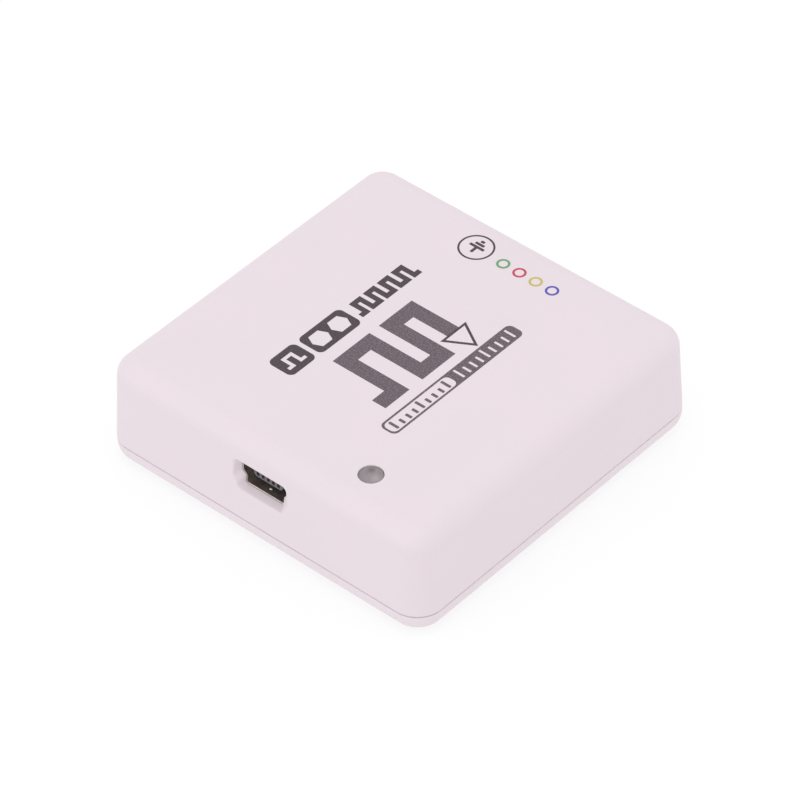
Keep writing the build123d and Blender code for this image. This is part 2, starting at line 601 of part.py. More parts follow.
# ---------------------------------------------------------------- status light
def make_led_lens():
    """Moulded lens of the light: flange with a flat, round body and a low dome."""
    radius = LED_D / 2
    top = LED_LOW + LED_LENGTH
    rim = top - LED_DOME_H
    dome_r = (radius ** 2 + LED_DOME_H ** 2) / (2 * LED_DOME_H)
    dome = Pos(LED_X, LED_Y, top - dome_r) * Sphere(dome_r)
    lens = post(LED_X, LED_Y, LED_D, (LED_LOW, rim))
    lens += dome & post(LED_X, LED_Y, LED_D, (rim, top))
    flange = post(LED_X, LED_Y, LED_FLANGE_D, (LED_LOW, LED_LOW + LED_FLANGE_H))
    flange -= block((LED_X + LED_FLAT, LED_X + LED_D), (LED_Y - LED_D, LED_Y + LED_D), (LED_LOW, CASE_H))
    return lens + flange


def make_led_lead(x):
    """Square lead from the lens down through the board."""
    half = LED_LEAD / 2
    return block((x - half, x + half), (LED_Y - half, LED_Y + half), (BOARD_LOW - LED_LEAD_TAIL, LED_LOW))


def make_solder_joint(x, y, side):
    """Cone of solder under the board around a square pin or lead."""
    cone = Cone(SOLDER_TOP_D / 2, SOLDER_D / 2, SOLDER_H)
    cone = Pos(x, y, BOARD_LOW - SOLDER_H / 2) * cone
    half = side / 2
    return cone - block((x - half, x + half), (y - half, y + half), (0, BOARD_TOP))


def solder_joints():
    """One joint for each header pin and each lead of the light."""
    pins = [make_solder_joint(x, PIN_LEG_Y, PIN_SIDE) for x in PIN_XS]
    return pins + [make_solder_joint(x, LED_Y, LED_LEAD) for x in LED_LEAD_XS]


# ---------------------------------------------------------------- electronic packages
def package_body(body, at):
    """Moulded body of a chip with bevelled upper edges and a dimple at its first pin."""
    size_x, size_y, height, gap = body
    x, y = at
    low = BOARD_TOP + gap
    shape = block((x - size_x / 2, x + size_x / 2), (y - size_y / 2, y + size_y / 2), (low, low + height))
    shape = chamfer(shape.faces().sort_by(Axis.Z)[-1].edges(), BODY_BEVEL)
    dimple_x = x - size_x / 2 + PIN_ONE_D
    dimple_y = y + size_y / 2 - PIN_ONE_D
    top = low + height
    if min(size_x, size_y) > 4 * PIN_ONE_D:
        shape -= post(dimple_x, dimple_y, PIN_ONE_D, (top - PIN_ONE_DEPTH, top + 1))
    return shape


def gull_lead(height, reach, width, thick):
    """One gull-wing lead that starts at X = 0 on a body's side and ends flat on the board."""
    shoulder = reach * LEAD_SHOULDER
    heel = reach * LEAD_HEEL
    outline = polygon([
        (0, height + thick), (shoulder + thick, height + thick), (heel + thick, thick),
        (reach, thick), (reach, 0), (heel, 0), (shoulder, height), (0, height),
    ])
    return Pos(0, 0, BOARD_TOP) * along_y(outline, (-width / 2, width / 2))


def lead_row(body, at, turn, offsets, reach, width, thick=LEAD_T):
    """Leads along one side of a body; turn 0 is the +X side, 90 the +Y side."""
    size_x, size_y, height, gap = body
    half = size_x / 2 if turn in (0, 180) else size_y / 2
    lead = gull_lead(gap + height * LEAD_FROM_BODY, reach, width, thick)
    place = Pos(at[0], at[1], 0) * Rot(0, 0, turn)
    return [place * Pos(half, offset_y, 0) * lead for offset_y in offsets]


def spread(count, pitch):
    """Evenly spaced offsets about zero."""
    return [(i - (count - 1) / 2) * pitch for i in range(count)]


def leads_on_sides(body, at, turns, row):
    """Equal rows of leads on several sides of a body."""
    count, pitch, reach, width = row
    leads = []
    for turn in turns:
        leads += lead_row(body, at, turn, spread(count, pitch), reach, width)
    return leads


def chip_part(size, at, turn=0):
    """Two-ended chip part: its ceramic body and its two metal ends."""
    length, width, height = size
    place = Pos(at[0], at[1], BOARD_TOP) * Rot(0, 0, turn)
    inner = length / 2 - CHIP_END
    half = width / 2
    body = place * block((-inner, inner), (-half, half), (CHIP_END_PROUD, height))
    proud = CHIP_END_PROUD
    ends = []
    for side in (-1, 1):
        across = sorted((side * inner, side * length / 2))
        ends.append(place * block(across, (-half - proud, half + proud), (0, height + proud)))
    return body, ends


def guard_spots():
    """Centres of the input protection arrays, one behind each channel pin."""
    y = PIN_LEG_Y - GUARD_BEHIND
    return [(x, y) for x in PIN_XS[1:]]


def save_processors():
    """Logic chip, USB interface chip and sample memory."""
    save("logic_chip", package_body(LOGIC_BODY, LOGIC_AT))
    save("logic_chip_leads", leads_on_sides(LOGIC_BODY, LOGIC_AT, (0, 90, 180, 270), LOGIC_LEADS))
    save("usb_chip", package_body(USB_CHIP_BODY, USB_CHIP_AT))
    usb_leads = leads_on_sides(USB_CHIP_BODY, USB_CHIP_AT, (0, 90, 180, 270), USB_CHIP_LEADS)
    save("usb_chip_leads", usb_leads)
    save("memory_chip", package_body(MEMORY_BODY, MEMORY_AT))
    save("memory_chip_leads", leads_on_sides(MEMORY_BODY, MEMORY_AT, (0, 180), MEMORY_LEADS))
    save("config_flash", package_body(FLASH_BODY, FLASH_AT))
    save("config_flash_leads", leads_on_sides(FLASH_BODY, FLASH_AT, (0, 180), FLASH_LEADS))


def save_inputs():
    """Input protection arrays, series resistors and input buffer."""
    save("input_buffer", package_body(BUFFER_BODY, BUFFER_AT))
    save("input_buffer_leads", leads_on_sides(BUFFER_BODY, BUFFER_AT, (0, 180), BUFFER_LEADS))
    bodies = []
    leads = []
    for spot in guard_spots():
        bodies.append(package_body(GUARD_BODY, spot))
        leads += lead_row(GUARD_BODY, spot, 90, (0.0,), *GUARD_LEAD)
        leads += lead_row(GUARD_BODY, spot, 270, (-GUARD_LEAD_X, GUARD_LEAD_X), *GUARD_LEAD)
    save("protection_arrays", bodies)
    save("protection_array_leads", leads)


def save_supply():
    """Regulator, bulk capacitors, fuse, bead, USB protection and crystal."""
    save("regulator", package_body(REGULATOR_BODY, REGULATOR_AT))
    across = (-REGULATOR_LEAD_X, 0.0, REGULATOR_LEAD_X)
    legs = lead_row(REGULATOR_BODY, REGULATOR_AT, 270, across, *REGULATOR_LEAD)
    legs += lead_row(REGULATOR_BODY, REGULATOR_AT, 90, (0.0,), *REGULATOR_TAB)
    save("regulator_leads", legs)
    save("bulk_capacitors", [package_body(TANTALUM_BODY, spot) for spot in TANTALUM_AT])
    straps = []
    for spot in TANTALUM_AT:
        straps += leads_on_sides(TANTALUM_BODY, spot, (0, 180), TANTALUM_STRAPS)
    save("bulk_capacitor_leads", straps)
    save("usb_esd_array", package_body(ESD_BODY, ESD_AT))
    save("usb_esd_array_leads", leads_on_sides(ESD_BODY, ESD_AT, (90, 270), ESD_LEADS))
    x, y = CRYSTAL_AT
    base_x, base_y, base_h = CRYSTAL_BASE
    lid_x, lid_y, lid_h = CRYSTAL_LID
    base_top = BOARD_TOP + base_h
    save("crystal_base", block((x - base_x / 2, x + base_x / 2), (y - base_y / 2, y + base_y / 2),
                               (BOARD_TOP, base_top)))
    lid = Pos(x, y, base_top) * extrude(RectangleRounded(lid_x, lid_y, CRYSTAL_LID_R), amount=lid_h)
    save("crystal_lid", chamfer(lid.faces().sort_by(Axis.Z)[-1].edges(), CRYSTAL_LID_BEVEL))


def save_chip_parts():
    """Resistors, capacitors, fuse and ferrite bead, with all their metal ends as one node."""
    resistors = []
    capacitors = []
    ends = []
    spots = [(SERIES_RESISTOR_X + i * SERIES_RESISTOR_STEP, SERIES_RESISTOR_Y) for i in range(4)]
    for spot in spots + [LED_RESISTOR_AT]:
        body, caps = chip_part(SMALL_RESISTOR, spot, 90)
        resistors.append(body)
        ends += caps
    columns = [(x, y, 90) for x, ys in CAPACITOR_COLUMNS for y in ys]
    rows = [(x, y, 0) for x, y in CAPACITOR_ROWS]
    for x, y, turn in columns + rows:
        body, caps = chip_part(SMALL_CAPACITOR, (x, y), turn)
        capacitors.append(body)
        ends += caps
    fuse, fuse_ends = chip_part(FUSE_SIZE, FUSE_AT)
    bead_body, bead_ends = chip_part(FERRITE_SIZE, FERRITE_AT)
    save("chip_resistors", resistors)
    save("decoupling_capacitors", capacitors)
    save("resettable_fuse", fuse)
    save("ferrite_bead", bead_body)
    save("chip_part_ends", ends + fuse_ends + bead_ends)


def main():
    os.makedirs("parts", exist_ok=True)
    save("base_plate", make_base_plate())
    save("top_cover", make_top_cover())
    save("main_board", make_board())
    save("board_screws", [make_screw(x, y) for x, y in SCREW_SPOTS])
    save("usb_shell", make_usb_shell())
    save("usb_insulator", make_usb_insulator())
    save("usb_contacts", [make_usb_contact(x) for x in USB_CONTACT_XS])
    save("probe_header_block", make_header_block())
    save("probe_header_pins", [make_header_pin(x) for x in PIN_XS])
    save("status_led", make_led_lens())
    save("status_led_leads", [make_led_lead(x) for x in LED_LEAD_XS])
    save("solder_joints", solder_joints())
    save_processors()
    save_inputs()
    save_supply()
    save_chip_parts()


main()
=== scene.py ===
# %% [markdown]
# # A pocket logic analyzer on a light table
#
# The object is a pale plastic box, 50 mm square and 15 mm high, with a USB socket in front, a probe
# header behind and a small status light in its top. A CAD program made its pieces at their real
# size. This lesson gives them their surfaces: it adds the printed ink, the inside of the light, and
# the solder and print on the circuit board, and then it lights and frames the object.
#
# The CAD pieces are loaded first. They are the fixed frame that everything else is measured from.

# %% Load the fixed frame
import math

import bmesh
import bpy
from mathutils import Matrix, Vector
from mathutils.geometry import tessellate_polygon


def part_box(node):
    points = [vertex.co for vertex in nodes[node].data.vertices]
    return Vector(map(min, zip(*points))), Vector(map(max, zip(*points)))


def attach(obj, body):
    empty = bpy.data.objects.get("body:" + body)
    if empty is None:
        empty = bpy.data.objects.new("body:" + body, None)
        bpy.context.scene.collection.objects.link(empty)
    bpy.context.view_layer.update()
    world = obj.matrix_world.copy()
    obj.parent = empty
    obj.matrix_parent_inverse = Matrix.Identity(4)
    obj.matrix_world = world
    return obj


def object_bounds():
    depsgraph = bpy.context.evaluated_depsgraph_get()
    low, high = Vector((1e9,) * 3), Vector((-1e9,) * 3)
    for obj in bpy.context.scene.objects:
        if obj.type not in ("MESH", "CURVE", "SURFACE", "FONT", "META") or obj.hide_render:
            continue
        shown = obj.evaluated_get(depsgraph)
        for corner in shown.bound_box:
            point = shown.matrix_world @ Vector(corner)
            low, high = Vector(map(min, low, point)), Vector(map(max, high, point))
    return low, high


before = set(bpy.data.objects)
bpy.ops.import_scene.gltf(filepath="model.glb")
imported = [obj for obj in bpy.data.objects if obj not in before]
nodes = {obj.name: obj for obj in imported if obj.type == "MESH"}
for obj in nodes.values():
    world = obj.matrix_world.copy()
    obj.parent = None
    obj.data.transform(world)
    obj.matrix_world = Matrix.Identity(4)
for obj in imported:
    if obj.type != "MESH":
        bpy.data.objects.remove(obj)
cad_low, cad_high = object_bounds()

print("loaded", len(nodes), "pieces, box in mm:", [round(v * 1000, 2) for v in cad_high - cad_low])

# %% [markdown]
# ## Millimetres, colours and nodes
#
# Blender works in metres here, but a maker thinks of this object in millimetres, so one value turns
# one into the other. Colours are chosen as sRGB hex codes, as a paint chart gives them, while
# Blender's shaders need linear light. The curve between the two is the standard sRGB one.
#
# A material is a tree of nodes. Each node could be made in four or five statements, but one
# function that takes its kind, its inputs and its settings keeps a recipe on one screen. It gives
# back the node's output, ready to be an input of the next node.
#
# A Mix node has sockets for every type of data, and those of one type share their names. So its
# colour sockets are found by their numbers, which have names here.

# %% Colours and nodes
MM = 0.001
SHARE, FIRST, SECOND, MIXED = 0, 6, 7, 2


def linear(hex_code):
    """An sRGB hex colour, such as E0D4DA, as linear RGBA."""
    channels = [int(hex_code[i:i + 2], 16) / 255 for i in (0, 2, 4)]
    light = [c / 12.92 if c <= 0.04045 else ((c + 0.055) / 1.055) ** 2.4 for c in channels]
    return (*light, 1.0)


def put(tree, kind, inputs, output=0, **settings):
    """Add a node with its settings and links; an input is a value or another node's output."""
    node = tree.nodes.new(kind)
    for name, value in settings.items():
        setattr(node, name, value)
    for name, value in inputs.items():
        if isinstance(value, bpy.types.NodeSocket):
            tree.links.new(value, node.inputs[name])
        else:
            node.inputs[name].default_value = value
    return node.outputs[output] if len(node.outputs) else node


print("white in linear light:", linear("FFFFFF")[:3], "mid grey:", round(linear("808080")[0], 3))

# %% [markdown]
# A pattern has to have a real size. Each piece's own coordinates are in metres, and multiplied by
# 1000 they are millimetres, so a noise texture with scale 4 has grains about a quarter of a
# millimetre wide. The coordinates belong to the piece, so its pattern travels with it when the
# cover is lifted.
#
# Cloudy noise seldom leaves the span from 0.3 to 0.7. Stretching that span is how a recipe gets the
# full range between two roughnesses, or between two colours. Three octaves give a noise finer
# grains within its coarse ones.

# %% Starting and closing a finish
NOISE_SPAN = {"From Min": 0.3, "From Max": 0.7}
OCTAVES = 3.0


def new_finish(name):
    """An empty material: itself, its node tree, and the piece's coordinates in millimetres."""
    material = bpy.data.materials.new(name)
    material.use_nodes = True
    tree = material.node_tree
    tree.nodes.clear()
    metres = put(tree, "ShaderNodeTexCoord", {}, "Object")
    here = put(tree, "ShaderNodeVectorMath", {0: metres, 1: (1000, 1000, 1000)},
               operation="MULTIPLY")
    return material, tree, here


def dress(material, *names):
    """Give CAD pieces a material, in every slot they have."""
    for name in names:
        piece = nodes[name]
        if not piece.material_slots:
            piece.data.materials.append(material)
        for place in piece.material_slots:
            place.material = material
    print(material.name, "on", ", ".join(names))


print("a noise of scale 4 has grains of", 1 / 4, "mm")

# %% [markdown]
# ## The case: ABS with a fine spark-eroded texture
#
# The cover and the base plate are injection-moulded ABS in a pale, slightly pink grey. The mould
# was spark-eroded, which leaves a fine pebbled matt skin. The real pebbles are 0.02 to 0.05 mm
# wide, too fine to show, so they are drawn about 0.16 mm wide, with a second, softer unevenness of
# the wall. The eye reads such a skin as matt and even. Fingers polish the rounded edges a little,
# so the finish is smoother where a surface leans between flat and upright. A ping-pong of the
# normal's Z share is highest where that share is one half. Very faint clouds and specks in the
# colour keep a large flat face from looking like paper.

# %% Moulded ABS
ABS_SPECK = "D6C9D0"
CLOUD_MM = 9.0
SPECK_MM = 0.22
SPECK_SPAN = {"From Min": 0.62, "From Max": 0.74, "To Max": 0.22}
PATCH_MM = 1.4
ABS_MATT = {"To Min": 0.54, "To Max": 0.62}
POLISH = 0.28
PEBBLE_MM = 0.16
PEBBLE_SHARE = 0.35
WAVE_MM = 5.0
PEBBLE_DEEP = 0.03 * MM


def pale_abs(name, colour, cloud):
    """Pale ABS with a spark-eroded skin, softly polished at the rounded edges."""
    material, tree, here = new_finish(name)
    cloudy = put(tree, "ShaderNodeTexNoise",
                 {"Vector": here, "Scale": 1 / CLOUD_MM, "Detail": OCTAVES})
    clouds = put(tree, "ShaderNodeMapRange", {"Value": cloudy, **NOISE_SPAN})
    tint = put(tree, "ShaderNodeMix",
               {SHARE: clouds, FIRST: linear(colour), SECOND: linear(cloud)}, MIXED,
               data_type="RGBA")
    dotty = put(tree, "ShaderNodeTexNoise",
                {"Vector": here, "Scale": 1 / SPECK_MM, "Detail": OCTAVES})
    specks = put(tree, "ShaderNodeMapRange", {"Value": dotty, **SPECK_SPAN})
    tint = put(tree, "ShaderNodeMix", {SHARE: specks, FIRST: tint, SECOND: linear(ABS_SPECK)},
               MIXED, data_type="RGBA")
    normal = put(tree, "ShaderNodeNewGeometry", {}, "Normal")
    upright = put(tree, "ShaderNodeSeparateXYZ", {0: normal}, "Z")
    leaning = put(tree, "ShaderNodeMath", {0: upright, 1: 0.5}, operation="PINGPONG")
    patchy = put(tree, "ShaderNodeTexNoise", {"Vector": here, "Scale": 1 / PATCH_MM})
    skin = put(tree, "ShaderNodeMapRange", {"Value": patchy, **NOISE_SPAN, **ABS_MATT})
    rough = put(tree, "ShaderNodeMath", {0: leaning, 1: -POLISH, 2: skin},
                operation="MULTIPLY_ADD")
    pebbles = put(tree, "ShaderNodeTexNoise", {"Vector": here, "Scale": 1 / PEBBLE_MM})
    waves = put(tree, "ShaderNodeTexNoise", {"Vector": here, "Scale": 1 / WAVE_MM, "Detail": 1.0})
    height = put(tree, "ShaderNodeMath", {0: pebbles, 1: PEBBLE_SHARE, 2: waves},
                 operation="MULTIPLY_ADD")
    bump = put(tree, "ShaderNodeBump", {"Height": height, "Distance": PEBBLE_DEEP, "Strength": 0.6})
    surface = put(tree, "ShaderNodeBsdfPrincipled", {
        "Base Color": tint, "Roughness": rough, "IOR": 1.54, "Specular IOR Level": 0.45,
        "Normal": bump})
    put(tree, "ShaderNodeOutputMaterial", {"Surface": surface})
    return material


dress(pale_abs("abs_spark_eroded_cover", "E0D4DA", "DED3D9"), "top_cover")
# The base plate's colour is a step lighter than the cover's: painted light, for the glow of the
# table on its lower band.
dress(pale_abs("abs_spark_eroded_base", "E1D6DC", "DFD4DA"), "base_plate")

# %% [markdown]
# ## The printed marks
#
# The print on the cover is pad-printed ink, about a hundredth of a millimetre thick. It could be
# painted in the cover's material, but a mark with crisp edges is simpler and sharper as its own
# thin plate of ink. Each mark is an outline with holes, so the first helpers draw outlines: a
# circle, and a bar with rounded corners.

# %% Circles and rounded bars
def circle(x, y, radius, count):
    """Points around a circle, in the unit of its radius."""
    turns = [2 * math.pi * i / count for i in range(count)]
    return [(x + radius * math.cos(t), y + radius * math.sin(t)) for t in turns]


def rounded_bar(x, y, radius, steps=8):
    """Outline of a bar with rounded corners between two X and two Y values."""
    corners = [(x[1] - radius, y[1] - radius, 0), (x[0] + radius, y[1] - radius, 90),
               (x[0] + radius, y[0] + radius, 180), (x[1] - radius, y[0] + radius, 270)]
    points = []
    for centre_x, centre_y, start in corners:
        for i in range(steps + 1):
            turn = math.radians(start + 90 * i / steps)
            points.append((centre_x + radius * math.cos(turn),
                           centre_y + radius * math.sin(turn)))
    return points


print("a rounded bar has", len(rounded_bar((0, 2), (0, 1), 0.2)), "points")

# %% [markdown]
# A timing diagram is drawn with a line of even width that turns by right angles. A bevelled curve
# could draw it, but its corners would be cut or round. Here each point of the path is moved to the
# left and to the right by half the width, and at a corner both ways at once, which keeps the corner
# square.

# %% A line of even width
def trace(points, width):
    """Outline of a line of even width along a path that turns by right angles."""
    half = width / 2
    left, right = [], []
    for i, point in enumerate(points):
        here = Vector(point)
        before = (here - Vector(points[i - 1])).normalized() if i else None
        after = (Vector(points[i + 1]) - here).normalized() if i + 1 < len(points) else None
        before = before or after
        after = after or before
        side = Vector((-before.y - after.y, before.x + after.x))
        if before == after:
            side /= 2
        left.append(tuple(here + side * half))
        right.append(tuple(here - side * half))
    return left + right[::-1]


step = trace([(0, 0), (2, 0), (2, 2)], 0.4)
print("a step's outline:", [(round(x, 1), round(y, 1)) for x, y in step])

# %% [markdown]
# A flat shape with holes could be a filled 2D curve, but a mesh is easier to measure and to hand
# on. `tessellate_polygon` fills an outline with its holes, and the same triangles are used twice,
# above and below. A band of faces along every loop closes the layer, so the ink is a solid, a
# little of which is sunk into the plastic below it so that no gap shows.

# %% A solid layer of ink
INK_THICK = 0.012 * MM
INK_SUNK = 0.004 * MM
cover_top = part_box("top_cover")[1].z


def piece_from(shape, name, finish, body):
    """Turn finished mesh data into a piece that rides on a body."""
    mesh = bpy.data.meshes.new(name)
    shape.to_mesh(mesh)
    shape.free()
    mesh.materials.append(finish)
    piece = bpy.data.objects.new(name, mesh)
    bpy.context.scene.collection.objects.link(piece)
    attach(piece, body)
    print(name, "rides on the", body, "and has", len(mesh.polygons), "faces")
    return piece


def ink_layer(name, marks, finish, height=cover_top, thick=INK_THICK, body="cover"):
    """One piece of ink: each mark is an outline, then its holes, in millimetres."""
    layer = bmesh.new()
    for loops in marks:
        flat = [[Vector((x * MM, y * MM, 0)) for x, y in loop] for loop in loops]
        points = [p for loop in flat for p in loop]
        lower = [layer.verts.new((p.x, p.y, height - INK_SUNK)) for p in points]
        upper = [layer.verts.new((p.x, p.y, height + thick)) for p in points]
        for a, b, c in tessellate_polygon(flat):
            layer.faces.new((upper[a], upper[b], upper[c]))
            layer.faces.new((lower[c], lower[b], lower[a]))
        start = 0
        for loop in flat:
            for i in range(len(loop)):
                a, b = start + i, start + (i + 1) % len(loop)
                layer.faces.new((lower[a], lower[b], upper[b], upper[a]))
            start += len(loop)
    bmesh.ops.recalc_face_normals(layer, faces=layer.faces)
    return piece_from(layer, name, finish, body)


print("the print lies at", round(cover_top / MM, 3), "mm")

# %% [markdown]
# Pad-printing ink is a soft silicone pad's stamp of an etched plate. A large dark area is never
# quite solid: the etched dots leave a fine speckle of lighter ink. The real dots are about 0.1 mm
# apart, and they are drawn twice as coarse so that they show. The ink is satin, with a roughness
# near 0.5, so the eye tells it from the matt plastic by its slightly clearer shine. Small marks
# print darker than large.

# %% Pad-printing inks
DOT_MM = 0.2
DOT_SPAN = {"From Min": 0.42, "From Max": 0.62}
INK_PATCH_MM = 0.35
INK_SATIN = {"To Min": 0.45, "To Max": 0.6}
DOT_DEEP = 0.006 * MM


def pad_ink(name, colour, speckle, most):
    """Satin ink with a fine speckle of a second colour, which covers it by at most a share."""
    material, tree, here = new_finish(name)
    dotty = put(tree, "ShaderNodeTexNoise", {"Vector": here, "Scale": 1 / DOT_MM, "Detail": 1.0})
    dots = put(tree, "ShaderNodeMapRange", {"Value": dotty, **DOT_SPAN, "To Max": most})
    tint = put(tree, "ShaderNodeMix",
               {SHARE: dots, FIRST: linear(colour), SECOND: linear(speckle)}, MIXED,
               data_type="RGBA")
    patchy = put(tree, "ShaderNodeTexNoise", {"Vector": here, "Scale": 1 / INK_PATCH_MM})
    skin = put(tree, "ShaderNodeMapRange", {"Value": patchy, **NOISE_SPAN, **INK_SATIN})
    bump = put(tree, "ShaderNodeBump", {"Height": dotty, "Distance": DOT_DEEP, "Strength": 0.5})
    surface = put(tree, "ShaderNodeBsdfPrincipled", {
        "Base Color": tint, "Roughness": skin, "IOR": 1.5, "Normal": bump})
    put(tree, "ShaderNodeOutputMaterial", {"Surface": surface})
    return material


grey_ink = pad_ink("pad_ink_warm_grey", "54474F", "776A73", 0.8)
dark_ink = pad_ink("pad_ink_dark_grey", "3A2D34", "54494F", 0.6)
pale_ink = pad_ink("pad_ink_pale", "E0D6DC", "D6CBD2", 0.5)
ring_inks = {
    "green": pad_ink("pad_ink_green", "5E9967", "7BAE83", 0.4),
    "red": pad_ink("pad_ink_red", "BC3A55", "CC5C72", 0.4),
    "yellow": pad_ink("pad_ink_yellow", "BDB058", "CCC27A", 0.4),
    "blue": pad_ink("pad_ink_blue", "5249A8", "6E66B8", 0.4),
}
print("channel inks:", ", ".join(ring_inks))

# %% [markdown]
# The probe lead plugs in behind, and the marks above it say which pin is which. Each channel has a
# ring in its wire's colour, and the rings stand at the pins' own pitch of 2.54 mm. Their places
# come from the header's block, which is as wide as its five pins, so rings and pins can't drift
# apart.

# %% The channel rings
PINS = 5
PIN_PITCH = 2.54
ROW_FROM_BACK = 6.11
RING_OUTSIDE = 0.87
RING_STROKE = 0.30
RING_POINTS = 48
back_y = cad_high.y / MM
row_y = back_y - ROW_FROM_BACK
header_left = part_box("probe_header_block")[0].x / MM
pin_xs = [header_left + PIN_PITCH * (i + 0.5) for i in range(PINS)]
for (colour, ink), x in zip(ring_inks.items(), pin_xs[1:]):
    edge = circle(x, row_y, RING_OUTSIDE, RING_POINTS)
    hole = circle(x, row_y, RING_OUTSIDE - RING_STROKE, RING_POINTS)
    ink_layer(f"channel_ring_{colour}", [[edge, hole]], ink)

# %% [markdown]
# The ground pin has the common earth symbol in a circle: a stem that meets a long bar, then two
# shorter bars. It stands upright for someone at the probe side. The stem and the long bar are one
# outline, so that no two parts of the ink overlap.

# %% The ground mark
GROUND_FROM_BACK = 5.9
GROUND_FROM_PIN = 1.88
GROUND_OUTSIDE = 2.3
GROUND_STROKE = 0.25
GROUND_POINTS = 72
BAR_HALF = 0.2
LONG_BAR_HALF, LONG_BAR_RISE = 1.1, 0.1
STEM_DROP = 1.05
SHORT_BARS = ((0.68, 0.68), (0.28, 1.24))
SHORT_BAR_CORNER, SHORT_BAR_STEPS = 0.08, 3

ground_x = pin_xs[0] - GROUND_FROM_PIN
ground_y = back_y - GROUND_FROM_BACK
bar_low = ground_y + LONG_BAR_RISE - BAR_HALF
right_half = [(BAR_HALF, ground_y - STEM_DROP), (BAR_HALF, bar_low),
              (LONG_BAR_HALF, bar_low), (LONG_BAR_HALF, bar_low + 2 * BAR_HALF)]
stem_and_bar = [(ground_x + x, y) for x, y in right_half]
stem_and_bar += [(ground_x - x, y) for x, y in right_half[::-1]]
ground_marks = [[circle(ground_x, ground_y, GROUND_OUTSIDE, GROUND_POINTS),
                 circle(ground_x, ground_y, GROUND_OUTSIDE - GROUND_STROKE, GROUND_POINTS)],
                [stem_and_bar]]
for half, rise in SHORT_BARS:
    ground_marks.append([rounded_bar(
        (ground_x - half, ground_x + half),
        (ground_y + rise - BAR_HALF, ground_y + rise + BAR_HALF),
        SHORT_BAR_CORNER, SHORT_BAR_STEPS)])
ink_layer("ground_mark", ground_marks, dark_ink)

# %% [markdown]
# The large print in the middle is a plain timing diagram: a bold square wave, a column of smaller
# bus and clock signs beside it and a ruler of sample ticks. They say what the instrument does. They
# read from the front edge towards the back, so a sketch has its own two directions, `along` (to the
# back) and `up` (to the left), and one function turns them into the cover's X and Y.

# %% From a sketch's directions to the cover's
def turned(points, corner):
    """Points given as (along, up), placed by the Y and X of a sketch's corner on the cover."""
    return [(corner[1] - up, corner[0] + along) for along, up in points]


def turned_bar(along, up, radius, corner):
    """Rounded bar in a sketch's own directions."""
    return turned(rounded_bar(along, up, radius), corner)


print("one along, two up:", turned([(1, 2)], (0, 0)))

# %% [markdown]
# The bold square wave is one line, 2.1 mm wide, along a path that steps up and down twice. It is
# the largest dark area on the object, so it has the greyer ink.

# %% The bold square wave
WAVE_CORNER = (-9.5, 6.3)
WAVE_WIDTH = 2.1
WAVE_TOP = 9.1
WAVE_STEPS = (3.2, 7.6, 11.4, 15.2)
WAVE_END = 1.5
wave_foot = WAVE_WIDTH / 2
wave_path = [(0.0, wave_foot)]
for i, step in enumerate(WAVE_STEPS):
    before, after = (WAVE_TOP, wave_foot) if i % 2 else (wave_foot, WAVE_TOP)
    wave_path += [(step, before), (step, after)]
wave_path[-1] = (WAVE_STEPS[-1], WAVE_END)
ink_layer("square_wave_mark", [[turned(trace(wave_path, WAVE_WIDTH), WAVE_CORNER)]], grey_ink)

# %% [markdown]
# The wave's last edge falls into a trigger marker: an arrow head, pale inside and dark at its edge.
# Two layers make it, a dark plate and a slightly higher pale one, as two more passes of the printer
# do, and both lie above the end of the wave. A smaller copy of the same triangle, shrunk towards
# the centre of its inscribed circle, leaves an edge of the same width on all three sides.

# %% The trigger marker
MARKER = [(12.9, 2.75), (17.5, 2.75), (15.2, -1.15)]
MARKER_STROKE = 0.34


def moved_in(points, stroke):
    """A triangle with each of its sides moved in by a stroke."""
    a, b, c = (Vector(point) for point in points)
    sides = ((b - c).length, (c - a).length, (a - b).length)
    middle = (a * sides[0] + b * sides[1] + c * sides[2]) / sum(sides)
    inside_radius = abs((b - a).cross(c - a)) / sum(sides)
    return [tuple(middle + (p - middle) * (1 - stroke / inside_radius)) for p in (a, b, c)]


marker_face = turned(moved_in(MARKER, MARKER_STROKE), WAVE_CORNER)
ink_layer("trigger_marker_edge", [[turned(MARKER, WAVE_CORNER)]], dark_ink, thick=2 * INK_THICK)
ink_layer("trigger_marker_face", [[marker_face]], pale_ink, thick=3 * INK_THICK)

# %% [markdown]
# Beside the wave is a column of small signs: a dark badge with one pale pulse, a dark bar with two
# cells of a data bus, and a clock train. Pale signs on dark are holes in the ink, where the plastic
# shows, so the badge's outline is followed by the pulse's outline as its hole.

# %% The badge and the bus cells
COLUMN_CORNER = (-12.5, -5.7)
COLUMN_SPAN = (0.0, 3.9)
COLUMN_ROUND = 0.8
BADGE_SPAN = (0.0, 4.55)
PULSE = [(0.75, 1.15), (1.6, 1.15), (1.6, 2.75), (2.95, 2.75), (2.95, 1.15), (3.8, 1.15)]
PULSE_WIDTH = 0.5
BUS_SPAN = (5.2, 12.6)
CELL_SPANS = ((5.85, 8.6), (9.2, 11.95))
CELL_LOW, CELL_HIGH = 0.75, 3.15
CELL_SLANT = 0.55


def bus_cell(start, end):
    """Six-sided cell of a data bus on a timing diagram."""
    middle = (CELL_LOW + CELL_HIGH) / 2
    lower = [(start, middle), (start + CELL_SLANT, CELL_LOW), (end - CELL_SLANT, CELL_LOW)]
    upper = [(end, middle), (end - CELL_SLANT, CELL_HIGH), (start + CELL_SLANT, CELL_HIGH)]
    return turned(lower + upper, COLUMN_CORNER)


badge = [turned_bar(BADGE_SPAN, COLUMN_SPAN, COLUMN_ROUND, COLUMN_CORNER),
         turned(trace(PULSE, PULSE_WIDTH), COLUMN_CORNER)]
bus_bar = [turned_bar(BUS_SPAN, COLUMN_SPAN, COLUMN_ROUND, COLUMN_CORNER)]
bus_bar += [bus_cell(*span) for span in CELL_SPANS]
ink_layer("bus_marks", [badge, bus_bar], dark_ink)

